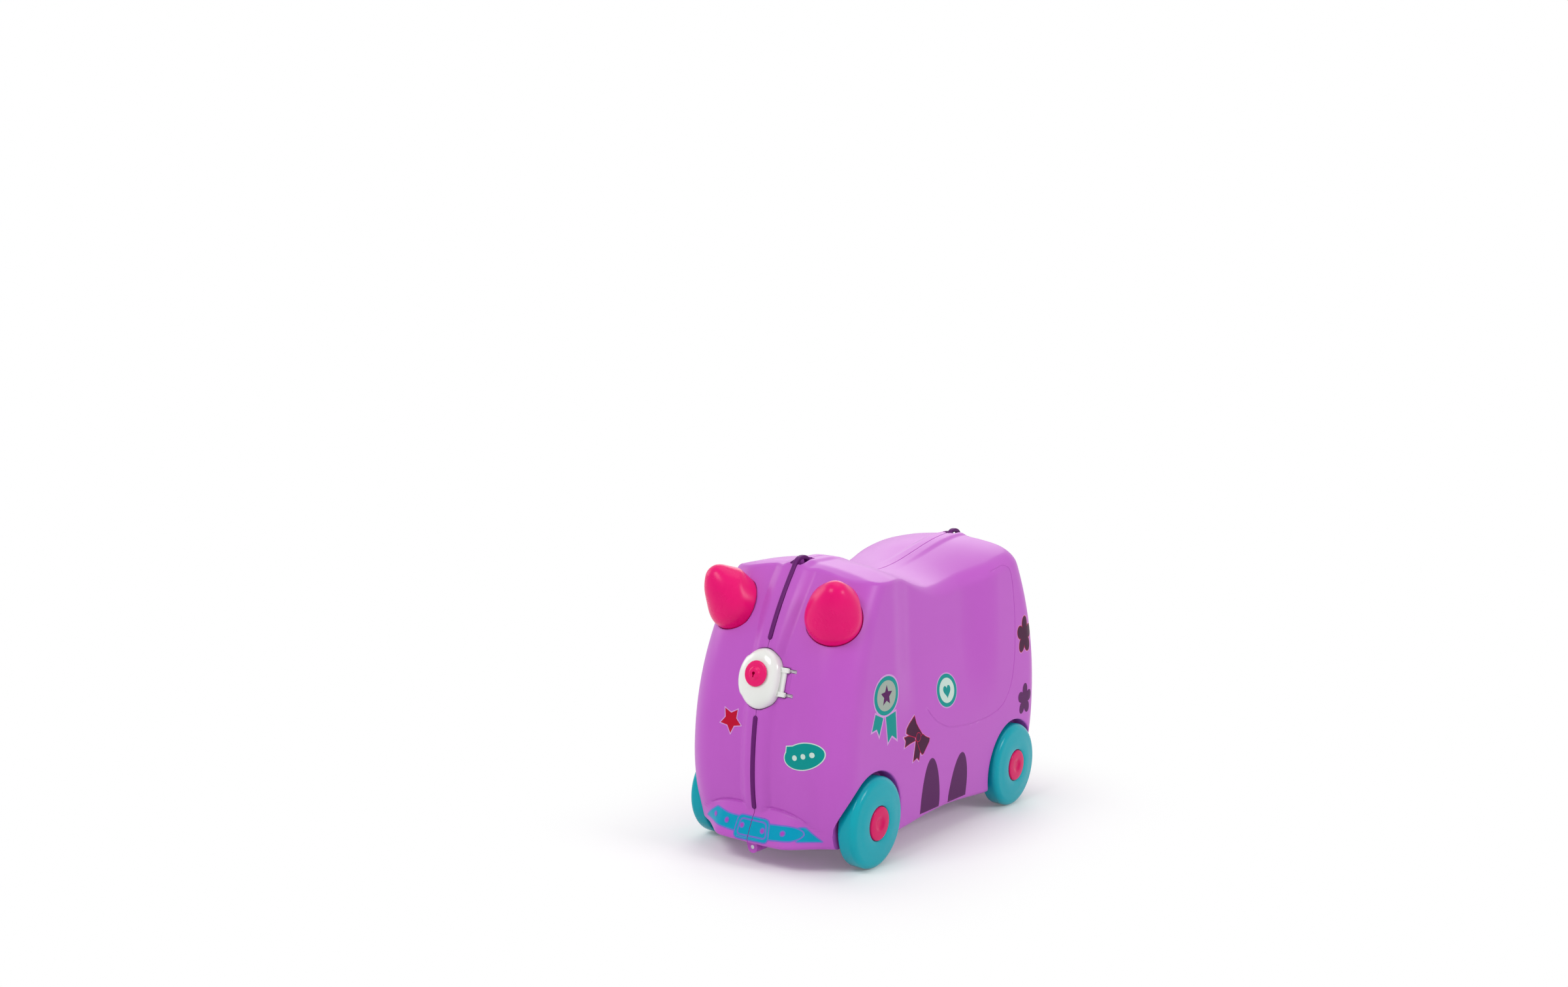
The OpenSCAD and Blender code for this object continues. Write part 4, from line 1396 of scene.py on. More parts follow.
def eased(points: Outline, radius: float, steps: int = 3) -> list[Point2]:
    """Outline with its corners rounded.

    Args:
        points: Closed outline.
        radius: How far from each corner the rounding starts.
        steps: Steps of a rounding.

    Returns:
        The rounded outline.
    """
    p = np.asarray(points, float)
    rows = []
    for a, b, c in zip(np.roll(p, 1, 0), p, np.roll(p, -1, 0)):
        reach = [min(radius, 0.45 * np.linalg.norm(v - b)) for v in (a, c)]
        start = b + (a - b) / np.linalg.norm(a - b) * reach[0]
        stop = b + (c - b) / np.linalg.norm(c - b) * reach[1]
        rows += [tuple((1 - t) ** 2 * start + 2 * t * (1 - t) * b + t * t * stop)
                 for t in np.linspace(0, 1, steps + 1)]
    return rows


@dataclass
class Printer:
    """Lays thin printed films on the skin."""

    skin: Skin
    pitch: float = 2.4
    reach: float = 320.0

    def film(self, name: str, rings: Sequence[Outline], side: Side, lift: float, ink: Ink,
             body: str, under: float = 0.08) -> Obj:
        """Makes one film and puts it on its body.

        Args:
            name: Name of the piece.
            rings: Outline and the outlines of its holes, as (right, up) of the side.
            side: Side of the case that it lies on.
            lift: Height of its face over the skin.
            ink: Its colour.
            body: Name of the body that carries it.
            under: How deep its back goes.

        Returns:
            The piece.
        """
        points, bounds = [], []
        for ring in rings:
            dense = self._dense(ring)
            bounds += [(len(points) + i, len(points) + (i + 1) % len(dense)) for i in range(len(dense))]
            points += dense
        low, high = np.min(points, 0), np.max(points, 0)
        border = np.array(points)
        for i, y in enumerate(np.arange(low[1] + 0.4, high[1], self.pitch * 0.87)):
            for x in np.arange(low[0] + 0.3 + (i % 2) * self.pitch / 2, high[0], self.pitch):
                near = np.min(np.hypot(border[:, 0] - x, border[:, 1] - y))
                if near > self.pitch * 0.45 and self._holds((x, y), rings):
                    points.append((float(x), float(y)))
        flat, _, tris, *_ = delaunay_2d_cdt([Vector(p) for p in points], bounds, [], 0, 1e-5)
        tris = [t for t in tris if self._holds(np.mean([flat[i] for i in t], 0), rings)]
        used = {i: k for k, i in enumerate(sorted({i for t in tris for i in t}))}
        top, back = [], []
        for i in used:
            point, normal = self._on_skin(side, flat[i])
            top.append(point + normal * lift)
            back.append(point - normal * under)
        n = len(used)
        tris = [[used[i] for i in t] for t in tris]
        edges = {}
        for t in tris:
            for a, b in zip(t, t[1:] + t[:1]):
                edges[(a, b)] = edges.get((a, b), 0) + 1
        walls = [[b, a, a + n, b + n] for a, b in edges if (b, a) not in edges]
        faces = tris + [[i + n for i in reversed(t)] for t in tris] + walls
        piece = new_object(name, np.array(top + back), faces)
        return fit(piece, body, ink.finish, (), 60)

    def _dense(self, ring: Outline) -> list[Point2]:
        """Outline with long edges divided."""
        rows = []
        for a, b in zip(ring, list(ring[1:]) + [ring[0]]):
            n = max(1, int(math.dist(a, b) / self.pitch + 0.5))
            rows += [(a[0] + (b[0] - a[0]) * k / n, a[1] + (b[1] - a[1]) * k / n) for k in range(n)]
        return rows

    def _holds(self, point: Sequence[float], rings: Sequence[Outline]) -> bool:
        """Whether a point is within the outline and out of its holes."""
        return sum(inside((point[0], point[1]), ring) for ring in rings) % 2 == 1

    def _on_skin(self, side: Side, uv: Sequence[float]) -> tuple[Vector, Vector]:
        """Point and normal of the skin under a point of the side's view."""
        place = side.matrix
        out = (place.to_3x3() @ Vector((0, 0, 1))).normalized()
        hit = self.skin.find(place @ Vector((uv[0], uv[1], self.reach)), -out)
        if hit is None:
            raise ValueError(f"nothing under {tuple(uv)} on the {side.name.lower()} side")
        return hit


@dataclass
class Artwork:
    """The printed films: belt and buckle, star and bubble, rosette, bow, badge and stripes."""

    printer: Printer
    border: float = 0.9
    seam: float = 0.45
    holes: tuple[Point2, ...] = ((-48.3, 42.7), (-29.7, 41.4), (-9.9, 40.3), (15.3, 39.2), (37.9, 40.6))

    def split(self, name: str, rings: Sequence[Outline], lift: float, ink: Ink) -> None:
        """Lays a front film in two parts when it crosses the seam."""
        for sign, body in ((-1, "case_left"), (1, "case_right")):
            parts = [clipped(ring, self.seam, sign) for ring in rings]
            parts = [p for p in parts if len(p) > 2]
            if parts:
                self.printer.film(f"{name}_{body[5:]}", parts, Side.FRONT, lift, ink, body)

    def belt(self) -> None:
        """A strap round the front lip with its buckle, holes and pointed end."""
        tail = [(50.5, 33.2), (72.6, 34.2), (58.0, 48.4), (50.5, 47.4)]
        left = [(-69.4, 34.6), (-56, 35.2), (-40, 34.9), (-28, 34.2), (-12, 33.5), (-12, 47.8), (-22, 47.9),
                (-31, 48.3), (-40, 50.0), (-47.6, 50.8), (-58.4, 43.6)]
        right = [(14, 32.0), (23.8, 32.4), (34, 33.4), (45.9, 33.8), (52.8, 36.3), (57.0, 40.9), (55.4, 44.4),
                 (49.6, 46.9), (40, 47.8), (20, 46.6), (14, 46.4)]
        for name, shape, lift in (("tail", tail, 0.10), ("strap_left", left, 0.10),
                                  ("strap_right", right, 0.2)):
            edge = eased(shape, 2.0)
            self.split("belt_edge_" + name, [grown(edge, 0.7)], lift, Ink.SKY)
            self.split("belt_" + name, [grown(edge, -0.6)], lift + 0.07, Ink.BLUE)
        frame_out = eased([(-17.8, 27.8), (24.6, 28.8), (20.6, 50.2), (-16.8, 49.8)], 6.0, 6)
        frame_in = eased([(-13.6, 32.0), (20.6, 32.8), (17.2, 46.6), (-12.8, 46.2)], 3.6, 5)
        self.split("buckle_edge", [grown(frame_out, 0.65)], 0.30, Ink.SKY)
        self.split("buckle", [grown(frame_out, -0.55), grown(frame_in, 1.1)], 0.37, Ink.BLUE)
        self.split("buckle_inner", [grown(frame_in, -0.5)], 0.37, Ink.BLUE)
        for k, (x, y) in enumerate(self.holes):
            body = "case_left" if x < 0 else "case_right"
            self.printer.film(f"belt_hole_edge_{k}", [circle(2.9, 28, (x, y))], Side.FRONT, 0.43, Ink.SKY,
                              body)
            self.printer.film(f"belt_hole_{k}", [circle(1.8, 24, (x, y))], Side.FRONT, 0.47, Ink.VIOLET, body)

    def star_and_bubble(self) -> None:
        """The star beside the lower strip, and the bubble with three dots."""
        shape = moved(star(13.4, 56, 0.52), -33.2, 142.1)
        self.printer.film("star_edge", [eased(grown(shape, 1.0), 1.0)], Side.FRONT, 0.2, Ink.CREAM,
                          "case_left")
        self.printer.film("star", [eased(shape, 0.5)], Side.FRONT, 0.3, Ink.RED, "case_left")
        centre, lean, tip = (55.8, 120.2), 17.0, (36.4, 126.8)
        oval = moved(turned([(21.8 * x, 12.6 * y) for x, y in circle(1.0, 90)], lean), *centre)
        keep = [(math.degrees(math.atan2(y - centre[1], x - centre[0])) % 360, (x, y)) for x, y in oval]
        keep = sorted(((a - 160) % 360, p) for a, p in keep if not 150 < a < 176)
        shape = [tip] + [p for _, p in keep]
        self.printer.film("bubble_edge", [grown(shape, 1.0)], Side.FRONT, 0.2, Ink.PALE, "case_right")
        self.printer.film("bubble", [shape], Side.FRONT, 0.3, Ink.TEAL, "case_right")
        for k in (-1, 0, 1):
            x, y = turned([(k * 10.0, 0)], lean)[0]
            dot = circle(2.7, 28, (centre[0] + x, centre[1] + y))
            self.printer.film(f"bubble_dot_{k + 1}", [dot], Side.FRONT, 0.36, Ink.PALE, "case_right")

    def rosette(self, side: Side, body: str, flip: int) -> None:
        """A round rosette with two notched ribbons."""
        name = "rosette_" + side.name.lower()
        centre = (-131.8, 172.8)
        ribbons = ([(-152, 157), (-137.3, 151), (-144.2, 134.1), (-149.1, 141.7), (-158.0, 140.6)],
                   [(-132.5, 151), (-113.7, 154), (-110.4, 124.8), (-120.0, 130.4), (-127.2, 124.3)])
        for k, ribbon in enumerate(ribbons):
            edge = self._out(ribbon, 1.7)
            self._lay(f"{name}_ribbon_edge_{k}", edge, side, 0.16, Ink.CREAM, body, flip)
            self._lay(f"{name}_ribbon_{k}", ribbon, side, 0.24, Ink.TEAL, body, flip)
        ovals = ((24.8, 21.4, 0.30, Ink.CREAM), (22.9, 19.6, 0.36, Ink.TEAL), (17.7, 15.4, 0.42, Ink.STONE))
        self._ovals(name, centre, ovals, side, body, flip)
        self._lay(f"{name}_star", moved(star(11.0, 90, 0.46), *centre), side, 0.48, Ink.PLUM, body, flip)

    def _lay(self, name: str, shape: Outline, side: Side, lift: float, ink: Ink, body: str,
             flip: int) -> None:
        """Lays a film on one side of the case, mirrored for the left one.

        Args:
            name: Name of the piece.
            shape: Outline as (along, up) of the right side.
            side: Side that it lies on.
            lift: Height of its face over the skin.
            ink: Its colour.
            body: Name of the body that carries it.
            flip: 1 for the right side, -1 for the left.
        """
        outline = [(flip * x, y) for x, y in shape]
        self.printer.film(name, [outline if self._area(outline) > 0 else outline[::-1]], side, lift, ink,
                          body)

    def _ovals(self, name: str, centre: Point2, ovals: Iterable[tuple[float, float, float, Ink]], side: Side,
               body: str, flip: int) -> None:
        """Lays ovals of (half length, half height, lift, ink) on one another."""
        for wide, tall, lift, ink in ovals:
            oval = moved([(x * wide, y * tall) for x, y in circle(1.0, 96)], *centre)
            self._lay(f"{name}_{ink.name.lower()}", oval, side, lift, ink, body, flip)

    @staticmethod
    def _area(points: Outline) -> float:
        """Twice the signed area of an outline."""
        return sum(a[0] * b[1] - b[0] * a[1] for a, b in zip(points, list(points[1:]) + [points[0]]))

    def _out(self, points: Outline, by: float) -> list[Point2]:
        """Outline grown whichever way round it is given."""
        return grown(points, by if self._area(points) > 0 else -by)

    def bow(self, side: Side, body: str, flip: int) -> None:
        """A tied bow in dark red."""
        name = "bow_" + side.name.lower()
        upper = [(-73.0, 141.6), (-70.4, 133.4), (-66.0, 127.6), (-59, 120), (-67, 117.6), (-77, 120.6),
                 (-86.9, 124.4), (-91.4, 127), (-90.6, 131.2), (-84.8, 135.6)]
        right = [(-59, 120.4), (-52, 116.2), (-44.4, 113.3), (-45.2, 109.8), (-56, 98.8), (-58.8, 98.6),
                 (-63, 103.2), (-69.6, 113.6)]
        left = [(-75, 120.8), (-88.6, 123.4), (-95.6, 123.2), (-92.2, 119), (-93.6, 112.8), (-84.4, 114.8),
                (-73, 116)]
        lower = [(-72.2, 116), (-74.0, 104.8), (-75.6, 94.6), (-68.3, 97), (-64.0, 93.6), (-63, 102.2),
                 (-62, 112.6)]
        for k, shape in enumerate((left, lower, upper, right, circle(4.6, 28, (-67.4, 118.6)))):
            lift = 0.24 + 0.05 * k
            if k < 4:
                edge = [(x - 0.7, y) for x, y in self._out(shape, 1.3)]
                self._lay(f"{name}_rim_{k}", eased(edge, 1.0), side, 0.14 + 0.01 * k, Ink.CREAM, body, flip)
            self._lay(f"{name}_edge_{k}", eased(self._out(shape, 0.5), 0.8), side, lift - 0.03, Ink.PINK,
                      body, flip)
            self._lay(f"{name}_{k}", eased(self._out(shape, -0.2), 0.8), side, lift, Ink.MAROON, body, flip)

    def badge(self, side: Side, body: str, flip: int) -> None:
        """A plain oval badge with a heart."""
        name = "badge_" + side.name.lower()
        centre = (-2.6, 156.0)
        ovals = ((21.6, 18.4, 0.16, Ink.CREAM), (20.4, 17.2, 0.24, Ink.TEAL), (15.2, 13.0, 0.30, Ink.PALE))
        self._ovals(name, centre, ovals, side, body, flip)
        self._lay(f"{name}_heart", moved(heart(8.0), centre[0], centre[1] - 0.6), side, 0.36, Ink.TEAL, body,
                  flip)

    def stripes(self, side: Side, body: str, flip: int) -> None:
        """Round-topped stripes rising from the belly."""
        for k, (low, high, top, lean) in enumerate(((-52.5, -13.5, 90.4, -4.0), (5.5, 44, 84, 3.0))):
            half, middle = (high - low) / 2, (low + high) / 2
            arch = []
            for a in np.linspace(0, math.pi, 48):
                rise = math.sin(a)
                arch.append((middle + lean * rise + half * math.cos(a) * (1 - 0.1 * rise),
                             40 + (top - 40) * rise))
            self._lay(f"stripe_{side.name.lower()}_{k}", [(low, 33.0), (high, 33.0)] + arch, side, 0.12,
                      Ink.PLUM,
                      body, flip)

    def flowers(self, side: Side, body: str, flip: int) -> None:
        """Two five-petalled flowers by the rear corner."""
        for k, (at, size, ink) in enumerate((((165.5, 192.5), (17.5, 21.5), Ink.MAROON),
                                             ((169.5, 118.0), (16.0, 18.5), Ink.PLUM))):
            shape = moved([(x * size[0], y * size[1]) for x, y in flower()], *at)
            name = f"flower_{side.name.lower()}_{k}"
            if k == 0:
                self._lay(name + "_rim", self._out(shape, 1.5), side, 0.14, Ink.CREAM, body, flip)
                self._lay(name + "_edge", self._out(shape, 0.8), side, 0.2, Ink.PINK, body, flip)
            self._lay(name, shape, side, 0.26, ink, body, flip)

    def make(self) -> None:
        """Lays every film."""
        self.belt()
        self.star_and_bubble()
        for side, body, flip in ((Side.RIGHT, "case_right", 1), (Side.LEFT, "case_left", -1)):
            self.rosette(side, body, flip)
            self.bow(side, body, flip)
            self.badge(side, body, flip)
            self.stripes(side, body, flip)
            self.flowers(side, body, flip)


def heart(size: float, steps: int = 48) -> list[Point2]:
    """Heart outline."""
    turns = np.linspace(2 * math.pi, 0, steps, endpoint=False)
    lobes = [13 * math.cos(t) - 5 * math.cos(2 * t) - 2 * math.cos(3 * t) - math.cos(4 * t) for t in turns]
    return [(size * 16 * math.sin(t) ** 3 / 17, size * lobe / 17) for t, lobe in zip(turns, lobes)]


def flower(petals: int = 5, steps: int = 120) -> list[Point2]:
    """Flower outline of radius 1 with round petals."""
    turns = np.linspace(0, 2 * math.pi, steps, endpoint=False)
    reach = 0.5 + 0.5 * np.abs(np.cos(petals * turns / 2)) ** 0.8
    return [(r * math.sin(t), r * math.cos(t)) for r, t in zip(reach, -turns)]


# Grips

@dataclass
class Grips:
    """The two rounded grips that the rider steers with."""

    radius: float = 28.5
    tip_radius: float = 15.0
    length: float = 31.0
    cone: float = 40.0
    sides: int = 120

    def rings(self) -> list[Point3]:
        """Rings as (distance along the axis, radius, blend from the foot's lean to the tip's)."""
        cone = math.radians(self.cone)
        end_r, slope = self.tip_radius * math.cos(cone), math.tan(cone)
        height = self.length + self.tip_radius * math.sin(cone)
        rows = [(-6.7, self.radius, 0.0), (-2.0, self.radius, 0.0), (0.0, self.radius, 0.0)]
        for t in np.linspace(0, 1, 44)[:-1]:
            cubic = ((2 * t ** 3 - 3 * t * t + 1) * self.radius - 0.03 * height * (t ** 3 - 2 * t * t + t)
                     + (3 * t * t - 2 * t ** 3) * end_r - slope * height * (t ** 3 - t * t))
            rows.append((3.5 + t * (height - 3.5), cubic, float(smooth(-0.2, 1, t))))
        for a in np.radians(np.linspace(self.cone, 88, 26)):
            rows.append((self.length + self.tip_radius * math.sin(a), self.tip_radius * math.cos(a), 1.0))
        return rows

    def build(self, name: str) -> Obj:
        """Makes the +X grip."""
        place = GripPlace()
        foot, tip = np.array(Vector(place.foot).normalized()), np.array(Vector(place.tip).normalized())
        verts = []
        for along, radius, blend in self.rings():
            d = foot * (1 - blend) + tip * blend
            d /= np.linalg.norm(d)
            u = np.cross((0, 0, 1), d)
            u /= np.linalg.norm(u)
            w = np.cross(d, u)
            k = float(smooth(1, 24, along))
            centre = np.array(place.at) + along * (foot * (1 - k) + tip * k)
            verts += [centre + radius * (math.cos(a) * u + math.sin(a) * w)
                      for a in np.linspace(0, 2 * math.pi, self.sides, endpoint=False)]
        grip = new_object(name, np.array(verts), [])
        work = bmesh.new()
        work.from_mesh(grip.data)
        made = bmesh.ops.convex_hull(work, input=work.verts)
        bmesh.ops.delete(work, geom=[g for g in made["geom_interior"] if g.is_valid], context="VERTS")
        work.to_mesh(grip.data)
        work.free()
        even = grip.modifiers.new("even", "REMESH")
        even.mode, even.voxel_size = "VOXEL", 0.8 * MM
        soft = grip.modifiers.new("soft", "SMOOTH")
        soft.factor, soft.iterations = 0.5, 12
        solid_mesh(grip)
        return grip

    def make(self) -> None:
        """Makes and dresses both grips."""
        fit(self.build("handle_right"), "case_right", GRIP, ["grip_right"])
        fit(mirrored(self.build("handle_left")), "case_left", GRIP, ["grip_left"])


# Wheels

@dataclass
class Wheels:
    """Four dished wheels with ribs behind and a pressed-in cap."""

    radius: float = 46.5
    width: float = 20.5
    outer_x: float = 103.4
    axle_d: float = 8.0
    cap_d: float = 34.6
    ribs: int = 6
    segments: int = 160

    def section(self) -> list[Point2]:
        """Section of the wheel as (radius, height), without its ribs."""
        w, r, c = self.width, self.radius, self.cap_d / 2 + 0.3
        shoulder = quarter(r - 8, w - 7.4, 8, 6.4, 84, 22)
        dish = flowing([shoulder[-1], (r - 12, w - 0.62), (r - 16, w - 0.2), (c + 9, w + 0.0),
                        (c + 4, w - 0.04)], 5)
        lip = [(c + 1.6, w - 0.25), (c + 0.9, w - 0.5), (c + 0.4, w - 0.85), (c + 0.1, w - 1.3), (c, w - 2)]
        tread = [(r - 4.2, 1.4), (r - 3.9, 0.6), (r - 3.4, 0.12), (r - 2.4, 0.05), (r - 1.0, 0.4),
                 (r - 0.3, 1.0), (r, 1.9)]
        bore = self.axle_d / 2 + 0.05
        back = [(bore, 0.0), (11.5, 0.0), (12, 0.5), (12, w - 8), (r - 8, w - 9.5)]
        return back + tread + shoulder[:-1] + [tuple(p) for p in dish[1:-1]] + lip + [(c, w - 5),
                                                                                      (bore, w - 5)]

    def ribbing(self, place: Matrix) -> Obj:
        """Ribs behind the wheel, repeated round the axle by Geometry Nodes."""
        mesh = bpy.data.meshes.new("ribs")
        obj = scene_object("ribs", mesh)
        tree = rib_tree()
        step = obj.modifiers.new("ribs", "NODES")
        step.node_group = tree
        sizes = {"Count": self.ribs, "Inner": 11.0 * MM, "Length": (self.radius - 17) * MM,
                 "Thickness": 2.6 * MM, "Height": (self.width - 10) * MM, "Base": 1.5 * MM,
                 "Material": WHEEL.make()}
        for item in tree.interface.items_tree:
            if item.item_type == "SOCKET" and item.in_out == "INPUT" and item.name in sizes:
                step[item.identifier] = sizes[item.name]
        solid_mesh(obj)
        metres = place.copy()
        metres.translation = place.translation * MM
        obj.data.transform(metres)
        outward(obj)
        return obj

    def wheel(self, name: str, side: int, end: int) -> Obj:
        """Makes one wheel."""
        place = wheel_place(side, end) @ Matrix.Translation((0, 0, self.outer_x - self.width))
        wheel = lathe(name, self.section(), place, self.segments)
        wheel.data.materials.append(WHEEL.make())
        carve(wheel, self.ribbing(place), "UNION")
        return wheel

    def cap(self, name: str, side: int, end: int) -> Obj:
        """Makes one hub cap with its dished middle."""
        r = self.cap_d / 2
        crown = quarter(r - 1.8, -1.2, 1.8, 1.8, 90, 12)
        dish = flowing([(r - 1.8, 0.6), (12.5, 0.84), (9, 0.9), (7.2, 0.66), (5.4, 0.0), (3.4, -0.6),
                        (0.0, -0.8)], 5)
        section = [(0.0, -4.7), (r - 0.5, -4.7), (r, -4.2)] + crown[:-1] + [tuple(p) for p in dish]
        section[-1] = (0.0, -0.8)
        return lathe(name, section, wheel_place(side, end) @ Matrix.Translation((0, 0, self.outer_x)), 128)

    def make(self) -> None:
        """Makes and dresses the four wheels and their caps."""
        for end, long in ((-1, "front"), (1, "rear")):
            for side, hand in ((-1, "left"), (1, "right")):
                spot = f"{long}_{hand}"
                fit(self.wheel("tyre_" + spot, side, end), "wheel_" + spot, WHEEL, ["wheel_" + spot])
                fit(self.cap("cap_" + spot, side, end), "wheel_" + spot, CAP, ["hub_cap_" + spot])


def rib_tree() -> Tree:
    """Geometry Nodes tree that sets ribs round an axle, built once."""
    found = bpy.data.node_groups.get("wheel_ribs")
    if found:
        return found
    tree = bpy.data.node_groups.new("wheel_ribs", "GeometryNodeTree")
    face = tree.interface
    face.new_socket(name="Geometry", in_out="INPUT", socket_type="NodeSocketGeometry")
    face.new_socket(name="Count", in_out="INPUT", socket_type="NodeSocketInt")
    for name in ("Inner", "Length", "Thickness", "Height", "Base"):
        face.new_socket(name=name, in_out="INPUT", socket_type="NodeSocketFloat")
    face.new_socket(name="Material", in_out="INPUT", socket_type="NodeSocketMaterial")
    face.new_socket(name="Geometry", in_out="OUTPUT", socket_type="NodeSocketGeometry")
    d = Draft(tree)
    i, o = d.add("NodeGroupInput"), d.add("NodeGroupOutput")
    size = d.add("ShaderNodeCombineXYZ", {0: i.outputs["Length"], 1: i.outputs["Thickness"],
                                          2: i.outputs["Height"]})
    bar = d.add("GeometryNodeMeshCube", {"Size": size.outputs[0]})
    half_len = d.times(i.outputs["Length"], 0.5)
    half_up = d.times(i.outputs["Height"], 0.5)
    shift = d.add("ShaderNodeCombineXYZ", {0: d.math("ADD", i.outputs["Inner"], half_len), 1: 0.0,
                                           2: d.math("ADD", i.outputs["Base"], half_up)})
    placed = d.add("GeometryNodeTransform", {"Geometry": bar.outputs["Mesh"],
                                             "Translation": shift.outputs[0]})
    spots = d.add("GeometryNodeMeshLine", {"Count": i.outputs["Count"], "Offset": (0.0, 0.0, 0.0)})
    index = d.add("GeometryNodeInputIndex").outputs[0]
    step = d.math("DIVIDE", 2 * math.pi, i.outputs["Count"])
    turn = d.add("ShaderNodeCombineXYZ", {2: d.times(index, step)})
    copies = d.add("GeometryNodeInstanceOnPoints", {"Points": spots.outputs[0], "Instance": placed.outputs[0],
                                                    "Rotation": turn.outputs[0]})
    real = d.add("GeometryNodeRealizeInstances", {"Geometry": copies.outputs[0]})
    dressed = d.add("GeometryNodeSetMaterial", {"Geometry": real.outputs[0],
                                                "Material": i.outputs["Material"]})
    tree.links.new(dressed.outputs[0], o.inputs[0])
    return tree


# Catches and locks

@dataclass
class Catches:
    """Domed oval covers on side arms, each with a key lock, and the steel behind them."""

    rim: float = -5.0
    crown: float = 10.0
    skin: float = 2.2
    knob_up: float = 4.0
    knob_r: float = 13.0
    pivot: tuple[float, float] = (33.5, -10.3)
    arm_y: float = 12.0

    def dome(self, name: str, grow: float, low: float, high: float, place: Matrix) -> Obj:
        """Domed cap over the cover's outline."""
        outline = cover_outline(grow, 3.0)
        shape = flowing([(1, 0), (1.0, 0.14), (0.995, 0.3), (0.975, 0.46), (0.93, 0.6), (0.84, 0.75),
                         (0.69, 0.87),
                         (0.46, 0.955), (0.2, 0.992), (0.02, 1.0)], 4)
        verts = [(x * s, y * s, low + (high - low) * h) for s, h in shape for x, y in outline]
        verts.append((0.0, 0.0, high))
        n, m = len(outline), len(shape) - 1
        faces = bands(m, n)
        faces += [[m * n + a, m * n + (a + 1) % n, len(verts) - 1] for a in range(n)]
        faces.append(list(range(n))[::-1])
        return new_object(name, np.array([place @ Vector(v) for v in verts]), faces)

    def arms(self, place: Matrix) -> list[Obj]:
        """The two curved arms that carry the cover on its pin, and the leaf between them."""
        x, z = self.pivot
        across = side_on(place)
        low = self.rim
        bar = [(18.0, low), (18.0, low + 3.9), (24.0, low + 3.7), (27.0, low + 3.3), (28.1, low + 2.6),
               (28.6, low + 1.6), (28.7, low)]
        link = [(25.0, low - 0.6), (25.0, low + 0.4), (28.7, low + 0.4), (28.7, -7.4), (30.2, -8.1),
                (x, z + 2.3),
                (x, z), (31.4, -9.9), (28.4, -9.9), (26.2, -8.2)]
        leaf = [(18.0, low + 0.2), (18.0, low + 3.4), (24.6, low + 3.1), (25.8, low + 2.5), (26.2, low + 1.6),
                (26.2, low + 0.2)]
        arms = [prism("leaf", [(u, -v) for u, v in leaf], -self.arm_y, self.arm_y, across)]
        for y in (-self.arm_y, self.arm_y):
            arm = prism("arm", [(u, -v) for u, v in bar], y - 2.4, y + 2.4, across)
            carve(arm, prism("link", [(u, -v) for u, v in link], y - 1.4, y + 1.4, across), "UNION")
            carve(arm, prism("eye", circle(2.3, 48, (x, -z)), y - 1.4, y + 1.4, across), "UNION")
            arms.append(arm)
        return arms

    def cover(self, name: str, place: Matrix) -> Obj:
        """Makes one cover."""
        cover = self.dome(name, 0.0, self.rim, self.crown, place)
        carve(cover, self.dome("under", -self.skin, self.rim - 2, self.crown - self.skin, place))
        up = self.knob_up
        carve(cover, prism("boss", circle(7, 64, (0, up)), -3, self.crown - 1, place), "UNION")
        for arm in self.arms(place):
            carve(cover, arm, "UNION")
        carve(cover, prism("bore", circle(4.05, 64, (0, up)), -20, 40, place))
        x, z = self.pivot
        across = side_on(place)
        carve(cover, prism("pin_bore", circle(1.55, 32, (x, -z)), -30, 30, across))
        return cover

    def knob(self, name: str, place: Matrix) -> Obj:
        """Makes one lock knob with its raised nose and keyhole."""
        t, r = self.crown, self.knob_r
        round_over = quarter(r - 2, t + 0.8, 2, 1.6, 90, 9)
        nose = flowing([(8.4, t + 2.75), (6.9, t + 2.9), (6.1, t + 3.5), (5.6, t + 4.4), (4.9, t + 5.0),
                        (3.6, t + 5.2)], 4)
        section = [(0.0, -7.2), (4.0, -7.2), (4.0, t + 0.2), (r - 0.4, t + 0.2)] + round_over + [(10.2,
                                                                                                  t + 2.5)]
        section += [tuple(p) for p in nose] + [(0.0, t + 5.2)]
        spot = place @ Matrix.Translation((0, self.knob_up, 0))
        knob = lathe(name, section, spot, 96)
        key = arc_points((0, 0), 1.7, -65, 245, 30) + [(-0.7, -4.0), (0.7, -4.0)]
        carve(knob, prism("keyhole", key, t - 1, t + 8, spot))
        return knob

    def make(self) -> None:
        """Makes both catches and dresses the steel behind them."""
        for end, word in ((-1, "front"), (1, "rear")):
            place = CatchPlace(end).matrix
            fit(self.cover("cover_" + word, place), "catch_" + word, COVER, ["catch_cover_" + word], 40)
            fit(self.knob("knob_" + word, place), "lock_" + word, KNOB, ["lock_barrel_" + word], 35)
            for node in ("lock_cam_", "keeper_", "catch_pin_"):
                dress_node(node + word, STEEL)


# Studio

